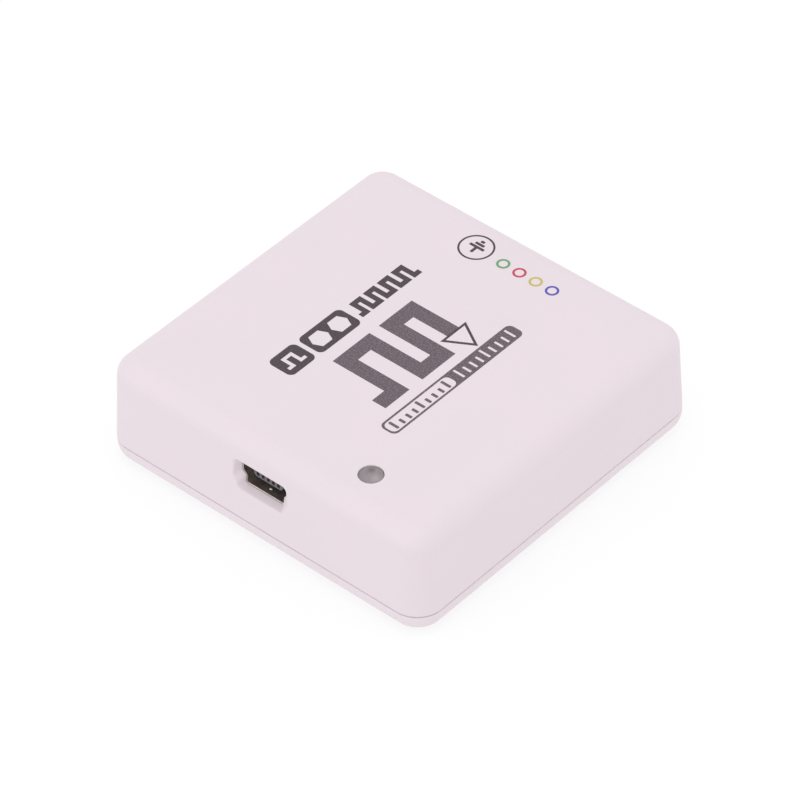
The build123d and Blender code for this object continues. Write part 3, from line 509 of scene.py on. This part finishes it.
# %% [markdown]
# The clock train is four equal pulses on one line, so a loop writes its path.

# %% The clock train
CLOCK_START, CLOCK_FIRST_PULSE, CLOCK_END = 13.3, 14.3, 24.0
CLOCK_LOW, CLOCK_HIGH = 0.95, 3.05
CLOCK_PULSES = 4
CLOCK_STEP = 2.5
CLOCK_PULSE = 1.2
CLOCK_WIDTH = 0.75
clock_path = [(CLOCK_START, CLOCK_LOW)]
for pulse in range(CLOCK_PULSES):
    start = CLOCK_FIRST_PULSE + pulse * CLOCK_STEP
    clock_path += [(start, CLOCK_LOW), (start, CLOCK_HIGH)]
    clock_path += [(start + CLOCK_PULSE, CLOCK_HIGH), (start + CLOCK_PULSE, CLOCK_LOW)]
clock_path.append((CLOCK_END, CLOCK_LOW))
ink_layer("clock_mark", [[turned(trace(clock_path, CLOCK_WIDTH), COLUMN_CORNER)]], dark_ink)

# %% [markdown]
# The ruler is one dark rounded bar. Its back half has pale slots, which are holes in the ink, and
# its front half is an outline with dark ticks. Every fourth tick is longer, as on any ruler.

# %% The ruler of sample ticks
RULER_CORNER = (-12.3, 10.2)
RULER_LONG, RULER_HIGH = 23.3, 2.5
RULER_STROKE = 0.28
RULER_ROUND, WINDOW_ROUND, TICK_ROUND = 0.8, 0.7, 0.1
WINDOW_END = 11.6
TICKS = 9
TICK_STEP = 1.15
LONG_EVERY = 4
SLOT = {"start": 12.7, "wide": 0.34, "foot": 0.42, "short": 1.3, "long": 1.75}
TICK = {"start": 1.05, "wide": 0.4, "foot": 0.5, "short": 0.95, "long": 1.5}


def ruler_mark(kind, i):
    """Outline of one slot or tick of the ruler."""
    start = kind["start"] + i * TICK_STEP
    reach = kind["short"] if i % LONG_EVERY else kind["long"]
    return turned_bar((start, start + kind["wide"]), (kind["foot"], kind["foot"] + reach),
                      TICK_ROUND, RULER_CORNER)


ruler = [turned_bar((0.0, RULER_LONG), (0.0, RULER_HIGH), RULER_ROUND, RULER_CORNER),
         turned_bar((RULER_STROKE, WINDOW_END), (RULER_STROKE, RULER_HIGH - RULER_STROKE),
                    WINDOW_ROUND, RULER_CORNER)]
ruler += [ruler_mark(SLOT, i) for i in range(TICKS)]
ticks = [[ruler_mark(TICK, i)] for i in range(TICKS)]
ink_layer("sample_ruler", [ruler] + ticks, grey_ink)

# %% [markdown]
# ## The metals
#
# The USB shell is folded from thin steel and plated with nickel: a warm, slightly yellow metal.
# Rolling leaves faint drag lines along the sheet, and they blur reflections across the lines. The
# real lines are some 0.01 mm apart, and they are drawn at 0.05 mm. A noise stretched along one axis
# makes them, which is lighter than a thousand grooves. Metallic is 1 and the IOR stays at its
# default.

# %% Sheet metal and plating
STRETCH = 0.06
ALONG = {"X": (STRETCH, 1, 1), "Y": (1, STRETCH, 1), "Z": (1, 1, STRETCH)}
SMUDGE_MM = 0.9
SMUDGE_MOST = 0.6
LINE_DEEP = 0.002 * MM


def drawn_metal(name, colour, dull, shiniest, dullest, along="Y", line_mm=0.05):
    """Metal with fine lines along one axis and cloudy dull patches."""
    material, tree, here = new_finish(name)
    pulled = put(tree, "ShaderNodeVectorMath", {0: here, 1: ALONG[along]}, operation="MULTIPLY")
    lines = put(tree, "ShaderNodeTexNoise", {"Vector": pulled, "Scale": 1 / line_mm})
    cloudy = put(tree, "ShaderNodeTexNoise", {"Vector": here, "Scale": 1 / SMUDGE_MM})
    smudges = put(tree, "ShaderNodeMapRange",
                  {"Value": cloudy, **NOISE_SPAN, "To Max": SMUDGE_MOST})
    tint = put(tree, "ShaderNodeMix",
               {SHARE: smudges, FIRST: linear(colour), SECOND: linear(dull)}, MIXED,
               data_type="RGBA")
    skin = put(tree, "ShaderNodeMapRange",
               {"Value": lines, **NOISE_SPAN, "To Min": shiniest, "To Max": dullest})
    bump = put(tree, "ShaderNodeBump", {"Height": lines, "Distance": LINE_DEEP, "Strength": 0.5})
    surface = put(tree, "ShaderNodeBsdfPrincipled", {
        "Base Color": tint, "Metallic": 1.0, "Roughness": skin, "Normal": bump})
    put(tree, "ShaderNodeOutputMaterial", {"Surface": surface})
    return material


print("drag lines run along", ", ".join(ALONG))

# %% [markdown]
# The same function makes every metal here, with its own colours and shine. The contacts are brass
# with a flash of gold. The chips' leads are tin plate, brighter and colder. The screws are zinc
# plated, and the solder froze from the liquid, so it is the shiniest and has coarse, soft ripples
# where the others have lines.

# %% Metals on their pieces
RIPPLE_MM = 0.3
nickel = drawn_metal("nickel_plated_sheet_steel", "F2EAE2", "D3C8BE", 0.26, 0.4)
gold = drawn_metal("gold_flashed_brass", "E3C27C", "C39F58", 0.22, 0.36)
zinc = drawn_metal("zinc_plated_steel", "CFD0D0", "A9ABB0", 0.25, 0.4, "Z")
lead_tin = drawn_metal("bright_tin_plate", "D9D8D4", "B9B8B4", 0.28, 0.42, "X")
solder = drawn_metal("tin_solder", "D2D2CF", "AEAEAA", 0.18, 0.34, "Z", RIPPLE_MM)
package_leads = [name for name in nodes if name.endswith("_leads")]
dress(nickel, "usb_shell")
dress(gold, "usb_contacts", "probe_header_pins")
dress(zinc, "board_screws")
dress(solder, "solder_joints")
dress(lead_tin, "chip_part_ends", "crystal_lid", *package_leads)

# %% [markdown]
# ## Dark mouldings
#
# The socket's tongue and the header's block are glass-filled nylon. It is black, but its skin is
# full of short glass fibres that scatter light, so in bright light it looks dark grey and a little
# streaky. The chips are moulded in epoxy with quartz powder: matt, even, almost black. Both are one
# recipe: a dark colour with paler streaks of filler, pulled out along the flow of the melt.

# %% Glass-filled nylon and chip epoxy
FLOW = (1, 0.3, 1)
ROUGH_SPREAD = 0.07
FILLER_DEEP = 0.006 * MM


def filled_moulding(name, colour, filler, grain_mm, rough):
    """Dark moulded plastic with paler streaks of filler in its skin."""
    material, tree, here = new_finish(name)
    pulled = put(tree, "ShaderNodeVectorMath", {0: here, 1: FLOW}, operation="MULTIPLY")
    streaks = put(tree, "ShaderNodeTexNoise",
                  {"Vector": pulled, "Scale": 1 / grain_mm, "Detail": OCTAVES})
    share = put(tree, "ShaderNodeMapRange", {"Value": streaks, **NOISE_SPAN})
    tint = put(tree, "ShaderNodeMix",
               {SHARE: share, FIRST: linear(colour), SECOND: linear(filler)}, MIXED,
               data_type="RGBA")
    patchy = put(tree, "ShaderNodeTexNoise", {"Vector": here, "Scale": 1 / grain_mm})
    skin = put(tree, "ShaderNodeMapRange",
               {"Value": patchy, **NOISE_SPAN, "To Min": rough - ROUGH_SPREAD,
                "To Max": rough + ROUGH_SPREAD})
    bump = put(tree, "ShaderNodeBump",
               {"Height": streaks, "Distance": FILLER_DEEP, "Strength": 0.5})
    surface = put(tree, "ShaderNodeBsdfPrincipled", {
        "Base Color": tint, "Roughness": skin, "IOR": 1.53, "Normal": bump})
    put(tree, "ShaderNodeOutputMaterial", {"Surface": surface})
    return material


chip_epoxy = filled_moulding("quartz_filled_chip_epoxy", "1D1E20", "2B2C2F", 0.12, 0.62)
grey_nylon = filled_moulding("glass_filled_nylon_dark_grey", "58565A", "6C6A6E", 0.18, 0.5)
black_nylon = filled_moulding("glass_filled_nylon_black", "18181A", "2A2A2D", 0.2, 0.45)
dress(grey_nylon, "usb_insulator")
dress(black_nylon, "probe_header_block")
dress(chip_epoxy, "logic_chip", "usb_chip", "memory_chip", "config_flash", "input_buffer",
      "protection_arrays", "regulator", "usb_esd_array")

# %% [markdown]
# ## The status light
#
# The light is a 3 mm LED with a smoke-grey, diffusing epoxy lens, seen unlit. Diffusing epoxy holds
# fine white powder: light goes in, spreads, and comes out grey. Clear transmission would show the
# inside too sharply, so the lens is mostly plain scattering with a part of transmission. Three soft
# spots are painted into the lens's colour: a painted shade towards the far side, a weaker painted
# shade to the left, and a paler patch of painted light on the near right. Each fades with the
# distance from its middle, which is given in millimetres from the lens's axis.

# %% Smoke-grey epoxy
SMOKE_MM = 0.5
SPOT_HEART = 0.1
LENS_PATCH_MM = 0.2
LENS_SATIN = {"To Min": 0.3, "To Max": 0.42}
SMOKE_DEEP = 0.004 * MM
# Two spots of painted shade and one of painted light, mixed into the lens's colour.
PAINTED_FAR_SHADE = {"colour": "584C52", "from_axis": (-0.45, 0.66), "reach": 0.75, "most": 0.62}
PAINTED_LEFT_SHADE = {"colour": "6A5F66", "from_axis": (-0.5, 0.05), "reach": 0.8, "most": 0.25}
PAINTED_NEAR_LIGHT = {"colour": "CEC3C6", "from_axis": (0.85, -0.15), "reach": 0.95, "most": 0.5}
lens_low, lens_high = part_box("status_led")
lead_low, lead_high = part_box("status_led_leads")
lens_x, lens_y = (lead_low.x + lead_high.x) / 2, (lead_low.y + lead_high.y) / 2

light_epoxy, tree, here = new_finish("smoke_grey_diffusing_epoxy")
cloudy = put(tree, "ShaderNodeTexNoise",
             {"Vector": here, "Scale": 1 / SMOKE_MM, "Detail": OCTAVES})
smoke = put(tree, "ShaderNodeMapRange", {"Value": cloudy, **NOISE_SPAN})
tint = put(tree, "ShaderNodeMix",
           {SHARE: smoke, FIRST: linear("9C9195"), SECOND: linear("A99EA2")}, MIXED,
           data_type="RGBA")
# Each spot mixes painted shade or painted light into the lens's colour, strongest at its middle.
for spot in (PAINTED_FAR_SHADE, PAINTED_LEFT_SHADE, PAINTED_NEAR_LIGHT):
    from_x, from_y = spot["from_axis"]
    middle = (lens_x / MM + from_x, lens_y / MM + from_y, lens_high.z / MM)
    away = put(tree, "ShaderNodeVectorMath", {0: here, 1: middle}, "Value", operation="DISTANCE")
    fade = put(tree, "ShaderNodeMapRange",
               {"Value": away, "From Min": SPOT_HEART, "From Max": spot["reach"],
                "To Min": spot["most"], "To Max": 0.0}, interpolation_type="SMOOTHSTEP")
    tint = put(tree, "ShaderNodeMix", {SHARE: fade, FIRST: tint, SECOND: linear(spot["colour"])},
               MIXED, data_type="RGBA")
patchy = put(tree, "ShaderNodeTexNoise", {"Vector": here, "Scale": 1 / LENS_PATCH_MM})
skin = put(tree, "ShaderNodeMapRange", {"Value": patchy, **NOISE_SPAN, **LENS_SATIN})
bump = put(tree, "ShaderNodeBump", {"Height": cloudy, "Distance": SMOKE_DEEP, "Strength": 0.4})
surface = put(tree, "ShaderNodeBsdfPrincipled", {
    "Base Color": tint, "Roughness": skin, "IOR": 1.5, "Transmission Weight": 0.3,
    "Normal": bump})
put(tree, "ShaderNodeOutputMaterial", {"Surface": surface})
dress(light_epoxy, "status_led")

# %% [markdown]
# Inside the lens stand two parts of one lead frame: the anvil, whose cup holds the chip, and a
# thinner post for the bond wire. A lathe's way of thinking suits them: a profile of radius and
# height is turned about an upright axis, which a screw modifier could do too, but a loop closes
# both ends as well. Heights are given from the cup's rim, and both parts start at the same foot.

# %% The lead frame inside the lens
FOOT_RISE = 0.3 * MM
CUP_FROM_TOP = 2.2 * MM
ANVIL_X, ANVIL_POINTS = -0.25 * MM, 40
ANVIL = ((0.30, -0.9), (0.62, -0.35), (0.66, 0.0), (0.54, 0.0), (0.34, -0.3), (0.10, -0.3))
POST_X, POST_POINTS = 0.85 * MM, 24
POST = ((0.22, -0.5), (0.30, -0.2), (0.28, 0.0), (0.10, 0.05))
foot_z = lens_low.z + FOOT_RISE
cup_z = lens_high.z - CUP_FROM_TOP


def turned_part(name, profile, x, count):
    """A round tin-plated part from a profile of radii and heights in millimetres."""
    shape = bmesh.new()
    levels = [(profile[0][0] * MM, foot_z)]
    levels += [(radius * MM, cup_z + rise * MM) for radius, rise in profile]
    rings = []
    for radius, height in levels:
        around = circle(x, lens_y, radius, count)
        rings.append([shape.verts.new((px, py, height)) for px, py in around])
    for lower, upper in zip(rings, rings[1:]):
        for i in range(count):
            j = (i + 1) % count
            shape.faces.new((lower[i], lower[j], upper[j], upper[i])).smooth = True
    shape.faces.new(rings[0][::-1])
    shape.faces.new(rings[-1])
    bmesh.ops.recalc_face_normals(shape, faces=shape.faces)
    piece_from(shape, name, lead_tin, "base")


turned_part("light_anvil_cup", ANVIL, lens_x + ANVIL_X, ANVIL_POINTS)
turned_part("light_post", POST, lens_x + POST_X, POST_POINTS)
print("light: lens top", round(lens_high.z / MM, 2), "mm, cup at", round(cup_z / MM, 2), "mm")

# %% [markdown]
# ## The circuit board
#
# The board shows when the cover is lifted off. It is woven glass and epoxy under a green solder
# mask, and the copper tracks below the mask make its colour lighter in fine lines. The tracks are
# drawn as bands 0.25 mm wide at a pitch of 0.6 mm. Large cells of a Voronoi pattern say where they
# run one way, where the other way, and where the board has none. Vias are dots at the centres of
# smaller cells. The recipe is long, so this cell only finds where the copper is.

# %% Where the copper is
TRACK_PITCH = 0.6
TRACK_SHARE = 0.42
REGION_MM = 5.0
LOWER_THIRD, UPPER_THIRD = 0.33, 0.66
VIA_CELL_MM = 2.6
VIA_RADIUS = 0.28

board_mask, tree, here = new_finish("green_solder_mask_on_glass_epoxy")
regions = put(tree, "ShaderNodeTexVoronoi",
              {"Vector": here, "Scale": 1 / REGION_MM, "Randomness": 0.9}, "Color")
region = put(tree, "ShaderNodeSeparateColor", {0: regions})
holes = put(tree, "ShaderNodeTexVoronoi",
            {"Vector": here, "Scale": 1 / VIA_CELL_MM, "Randomness": 0.8})
copper = put(tree, "ShaderNodeMath", {0: holes, 1: VIA_RADIUS / VIA_CELL_MM},
             operation="LESS_THAN")
for axis, side, limit in (("Y", "LESS_THAN", LOWER_THIRD), ("X", "GREATER_THAN", UPPER_THIRD)):
    across = put(tree, "ShaderNodeSeparateXYZ", {0: here}, axis)
    pitches = put(tree, "ShaderNodeMath", {0: across, 1: TRACK_PITCH}, operation="DIVIDE")
    share = put(tree, "ShaderNodeMath", {0: pitches}, operation="FRACT")
    bands = put(tree, "ShaderNodeMath", {0: share, 1: TRACK_SHARE}, operation="LESS_THAN")
    inside = put(tree, "ShaderNodeMath", {0: region, 1: limit}, operation=side)
    tracks = put(tree, "ShaderNodeMath", {0: bands, 1: inside}, operation="MULTIPLY")
    copper = put(tree, "ShaderNodeMath", {0: copper, 1: tracks}, operation="MAXIMUM")
print("tracks", round(TRACK_PITCH * TRACK_SHARE, 2), "mm wide at", TRACK_PITCH, "mm")

# %% [markdown]
# Two greens make the mask, darker over bare laminate and lighter over copper. The board's sawn edge
# has no mask: it shows the bare yellowish laminate, in layers 0.2 mm thick. The normal's Z share
# tells the faces from the edge: it is 1 or -1 on the faces and 0 on the edge, where the layers take
# over. The mask is glossy, and a thin coat gives it the depth of a varnish.

# %% Mask and bare edge
WEAVE_MM = 0.4
WEAVE_MOST = 0.25
LAYER_MM = 0.2
MASK_PATCH_MM = 0.6
MASK_GLOSS = {"To Min": 0.22, "To Max": 0.34}
SAWN_ROUGH = 0.75
TRACK_DEEP = 0.02 * MM

tint = put(tree, "ShaderNodeMix",
           {SHARE: copper, FIRST: linear("0B4A26"), SECOND: linear("1B6E3A")}, MIXED,
           data_type="RGBA")
weave = put(tree, "ShaderNodeTexNoise", {"Vector": here, "Scale": 1 / WEAVE_MM})
woven = put(tree, "ShaderNodeMapRange", {"Value": weave, **NOISE_SPAN, "To Max": WEAVE_MOST})
tint = put(tree, "ShaderNodeMix", {SHARE: woven, FIRST: tint, SECOND: linear("0F5A2E")}, MIXED,
           data_type="RGBA")
height = put(tree, "ShaderNodeSeparateXYZ", {0: here}, "Z")
layers = put(tree, "ShaderNodeMath", {0: height, 1: LAYER_MM / 2}, operation="PINGPONG")
layered = put(tree, "ShaderNodeMapRange", {"Value": layers, "From Max": LAYER_MM / 2})
laminate = put(tree, "ShaderNodeMix",
               {SHARE: layered, FIRST: linear("86844F"), SECOND: linear("9F9D66")}, MIXED,
               data_type="RGBA")
normal = put(tree, "ShaderNodeNewGeometry", {}, "Normal")
upright = put(tree, "ShaderNodeSeparateXYZ", {0: normal}, "Z")
steep = put(tree, "ShaderNodeMath", {0: upright}, operation="ABSOLUTE")
face = put(tree, "ShaderNodeMath", {0: steep, 1: 0.5}, operation="GREATER_THAN")
tint = put(tree, "ShaderNodeMix", {SHARE: face, FIRST: laminate, SECOND: tint}, MIXED,
           data_type="RGBA")
patchy = put(tree, "ShaderNodeTexNoise", {"Vector": here, "Scale": 1 / MASK_PATCH_MM})
gloss = put(tree, "ShaderNodeMapRange", {"Value": patchy, **NOISE_SPAN, **MASK_GLOSS})
sawn = put(tree, "ShaderNodeMapRange", {"Value": face, "To Min": SAWN_ROUGH, "To Max": 0.0})
skin = put(tree, "ShaderNodeMath", {0: gloss, 1: sawn}, operation="MAXIMUM")
raised = put(tree, "ShaderNodeMath", {0: copper, 1: face}, operation="MULTIPLY")
bump = put(tree, "ShaderNodeBump", {"Height": raised, "Distance": TRACK_DEEP, "Strength": 0.5})
surface = put(tree, "ShaderNodeBsdfPrincipled", {
    "Base Color": tint, "Roughness": skin, "IOR": 1.52, "Coat Weight": 0.3,
    "Coat Roughness": 0.15, "Normal": bump})
put(tree, "ShaderNodeOutputMaterial", {"Surface": surface})
dress(board_mask, "main_board")

# %% [markdown]
# Every lead stands on a pad of solder. The leads' own feet say where the pads go: each separate
# lead is found in its mesh by walking along edges from one corner, and the box of what touches the
# board is kept. So the pads always match the parts, whatever the board holds.

# %% Where the feet stand
board_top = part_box("main_board")[1].z
FOOT_BAND = 0.05 * MM
SAME_POINT = 0.001 * MM


def feet(name):
    """Low X, low Y, high X and high Y of each separate piece of a node where it meets the board."""
    shape = bmesh.new()
    shape.from_mesh(nodes[name].data)
    bmesh.ops.remove_doubles(shape, verts=shape.verts, dist=SAME_POINT)
    left = set(shape.verts)
    found = []
    while left:
        island, front = set(), [left.pop()]
        while front:
            vert = front.pop()
            island.add(vert)
            near = {edge.other_vert(vert) for edge in vert.link_edges} & left
            left -= near
            front += near
        low = [v.co for v in island if abs(v.co.z - board_top) < FOOT_BAND]
        if low:
            xs, ys = [p.x for p in low], [p.y for p in low]
            found.append((min(xs), min(ys), max(xs), max(ys)))
    shape.free()
    return sorted(found)


soldered = sorted(set(package_leads) - {"status_led_leads"}) + ["chip_part_ends", "usb_contacts"]
places = [foot for name in soldered for foot in feet(name)]
print(len(places), "feet stand on the board")

# %% [markdown]
# A pad is a plate of solder 0.04 mm thick that reaches a little beyond its foot. The ink's function
# already makes a thin closed plate from an outline, so it makes the pads too, with solder as its
# finish.

# %% Pads under every foot
PAD_MARGIN = 0.12
PAD_THICK = 0.04 * MM
PAD_CORNER, PAD_STEPS = 0.04, 2


def pad(low_x, low_y, high_x, high_y):
    """Outline of a pad around one foot, in millimetres."""
    return rounded_bar((low_x / MM - PAD_MARGIN, high_x / MM + PAD_MARGIN),
                       (low_y / MM - PAD_MARGIN, high_y / MM + PAD_MARGIN), PAD_CORNER, PAD_STEPS)


solder_pads = ink_layer("solder_pads", [[pad(*foot)] for foot in places], solder, board_top,
                        PAD_THICK, "base")

# %% [markdown]
# White lines are printed around the chips so that the person who repairs the board can see where
# each one belongs. They are thin ink again, on the board this time: a frame a little larger than
# the body and its leads together.

# %% White outlines on the board
OUTLINE_GAP = 0.3
OUTLINE_WIDTH = 0.15
OUTLINE_THICK = 0.02 * MM
OUTER_CORNER, INNER_CORNER, CORNER_STEPS = 0.3, 0.2, 4
board_white = pad_ink("board_print_white", "E8E8E4", "D5D5D0", 0.5)


def framed(name):
    """Outline and hole of the printed frame around a part and its leads."""
    boxes = [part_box(part) for part in (name, name + "_leads") if part in nodes]
    lows, highs = zip(*boxes)
    xs = (min(p.x for p in lows) / MM - OUTLINE_GAP, max(p.x for p in highs) / MM + OUTLINE_GAP)
    ys = (min(p.y for p in lows) / MM - OUTLINE_GAP, max(p.y for p in highs) / MM + OUTLINE_GAP)
    inner_xs = (xs[0] + OUTLINE_WIDTH, xs[1] - OUTLINE_WIDTH)
    inner_ys = (ys[0] + OUTLINE_WIDTH, ys[1] - OUTLINE_WIDTH)
    return [rounded_bar(xs, ys, OUTER_CORNER, CORNER_STEPS),
            rounded_bar(inner_xs, inner_ys, INNER_CORNER, CORNER_STEPS)]


framed_parts = ("logic_chip", "usb_chip", "memory_chip", "config_flash", "input_buffer",
                "regulator", "crystal_base", "usb_esd_array")
ink_layer("board_outlines", [framed(name) for name in framed_parts], board_white, board_top,
          OUTLINE_THICK, "base")

# %% [markdown]
# ## The small parts on the board
#
# Chip resistors are alumina under a black glaze, chip capacitors are brown sintered ceramic, and
# the two bulk capacitors are moulded in yellow epoxy. They are tiny, so their grain is fine, near
# 0.1 mm, which is coarser than the real powder, and their colours are what the eye tells them apart
# by. Glazed and dipped parts also have a clear coat, which gives them a small sharp highlight.

# %% Ceramics and coatings
FIRED_SPREAD = 0.06
GRAIN_DEEP = 0.004 * MM


def fired(name, colour, second, grain_mm, rough, coat=0.0):
    """Fired ceramic or a coated part: two close colours in fine grains."""
    material, tree, here = new_finish(name)
    grains = put(tree, "ShaderNodeTexNoise",
                 {"Vector": here, "Scale": 1 / grain_mm, "Detail": OCTAVES})
    share = put(tree, "ShaderNodeMapRange", {"Value": grains, **NOISE_SPAN})
    tint = put(tree, "ShaderNodeMix",
               {SHARE: share, FIRST: linear(colour), SECOND: linear(second)}, MIXED,
               data_type="RGBA")
    skin = put(tree, "ShaderNodeMapRange",
               {"Value": share, "To Min": rough - FIRED_SPREAD, "To Max": rough + FIRED_SPREAD})
    bump = put(tree, "ShaderNodeBump", {"Height": share, "Distance": GRAIN_DEEP, "Strength": 0.5})
    surface = put(tree, "ShaderNodeBsdfPrincipled", {
        "Base Color": tint, "Roughness": skin, "IOR": 1.6, "Coat Weight": coat,
        "Coat Roughness": 0.1, "Normal": bump})
    put(tree, "ShaderNodeOutputMaterial", {"Surface": surface})
    return material


dress(fired("glazed_alumina_black", "17171A", "26262A", 0.1, 0.3, 0.4), "chip_resistors")
dress(fired("sintered_titanate_brown", "8C6B4C", "9C7B5A", 0.08, 0.55), "decoupling_capacitors")
dress(fired("moulded_epoxy_yellow", "D29A2A", "DDAA3E", 0.15, 0.5), "bulk_capacitors")
dress(fired("sintered_ferrite_grey", "2E2E31", "3C3C40", 0.08, 0.5), "ferrite_bead")
dress(fired("dipped_polymer_green", "1C5A44", "2A6B54", 0.12, 0.4, 0.3), "resettable_fuse")
dress(fired("fired_ceramic_brown", "3A332E", "4A423C", 0.1, 0.5), "crystal_base")

# %% [markdown]
# ## Table, light and camera
#
# The object stands on a light table in a light tent. The table's matt sheet sends back part of the
# lamps' light and glows by itself, and the two together come out white. The object's shadow takes
# away the first part only, so it is no more than a thin soft line.

# %% The light table
TABLE_GLOW = 0.72
TABLE_SIDE = 4.0
TABLE_CLOUD_MM = 60.0
table_finish, tree, here = new_finish("matt_white_light_table")
cloudy = put(tree, "ShaderNodeTexNoise", {"Vector": here, "Scale": 1 / TABLE_CLOUD_MM})
tint = put(tree, "ShaderNodeMix",
           {SHARE: cloudy, FIRST: linear("8C8C8C"), SECOND: linear("8E8E8E")}, MIXED,
           data_type="RGBA")
surface = put(tree, "ShaderNodeBsdfPrincipled", {
    "Base Color": tint, "Roughness": 0.9, "Specular IOR Level": 0.1,
    "Emission Color": linear("FFFFFF"), "Emission Strength": TABLE_GLOW})
put(tree, "ShaderNodeOutputMaterial", {"Surface": surface})
bpy.ops.mesh.primitive_plane_add(size=TABLE_SIDE, location=(0, 0, cad_low.z))
table = bpy.context.object
table.name = "light_table"
table.data.materials.append(table_finish)
print("table", TABLE_SIDE, "m wide, glow", TABLE_GLOW)

# %% [markdown]
# The tent gives nearly the same light from all sides, so the sky is an even white. Three soft lamps
# shape it: a broad one above, one in front to the left, which makes the front as bright as the top,
# and a weak one to the right, whose side stays a little darker. The "Standard" view keeps whites
# white.

# %% The light tent
scene = bpy.context.scene
scene.view_settings.view_transform = "Standard"
world = bpy.data.worlds.new("light_tent")
scene.world = world
world.use_nodes = True
sky = world.node_tree.nodes["Background"]
sky.inputs["Color"].default_value = linear("FFFFFF")
sky.inputs["Strength"].default_value = 1.0


def soft_lamp(name, place, size, power):
    """A square soft lamp, in metres and watts, turned towards the object."""
    lamp = bpy.data.lights.new(name, "AREA")
    lamp.shape = "SQUARE"
    lamp.size = size
    lamp.energy = power
    holder = bpy.data.objects.new(name, lamp)
    scene.collection.objects.link(holder)
    holder.location = place
    middle = (cad_low + cad_high) / 2
    holder.rotation_euler = (middle - Vector(place)).to_track_quat("-Z", "Y").to_euler()
    print(name, "gives", power, "W from", round((Vector(place) - middle).length, 2), "m")


soft_lamp("lamp_above", (0.05, -0.05, 0.70), 0.40, 0.48)
soft_lamp("lamp_front_left", (-0.18, -0.62, 0.22), 0.30, 0.33)
soft_lamp("lamp_right", (0.62, 0.10, 0.30), 0.30, 0.08)

# %% [markdown]
# The camera stands to the front right, 42 degrees round from the front and 42 degrees up, with a
# long lens from 0.6 m, so the box keeps nearly parallel edges. It is turned by 1.2 degrees about
# its own axis. A track-to constraint would keep it level, so its three directions are worked out
# from those angles and put straight into its matrix.

# %% The camera
AZIMUTH, ELEVATION, ROLL = 42.004, 42.367, 1.215
DISTANCE = 611.36 * MM
AIM = Vector((-2.140, 2.414, 3.030)) * MM
LENS = 229.54
SENSOR = 36.0
NEAREST = 10 * MM


def camera_axes(azimuth, elevation, roll):
    """Right, up and back directions of a camera that looks at the object."""
    a, e, r = (math.radians(angle) for angle in (azimuth, elevation, roll))
    back = Vector((math.sin(a) * math.cos(e), -math.cos(a) * math.cos(e), math.sin(e)))
    level = Vector((math.cos(a), math.sin(a), 0))
    over = back.cross(level)
    return (level * math.cos(r) - over * math.sin(r), level * math.sin(r) + over * math.cos(r),
            back)


right, up, back = camera_axes(AZIMUTH, ELEVATION, ROLL)
camera_data = bpy.data.cameras.new("camera")
camera_data.lens = LENS
camera_data.sensor_width = SENSOR
camera_data.clip_start = NEAREST
camera = bpy.data.objects.new("camera", camera_data)
scene.collection.objects.link(camera)
place = AIM + back * DISTANCE
camera.matrix_world = Matrix((
    (right.x, up.x, back.x, place.x), (right.y, up.y, back.y, place.y),
    (right.z, up.z, back.z, place.z), (0, 0, 0, 1)))
scene.camera = camera
print("camera at", [round(v / MM, 1) for v in place], "mm")
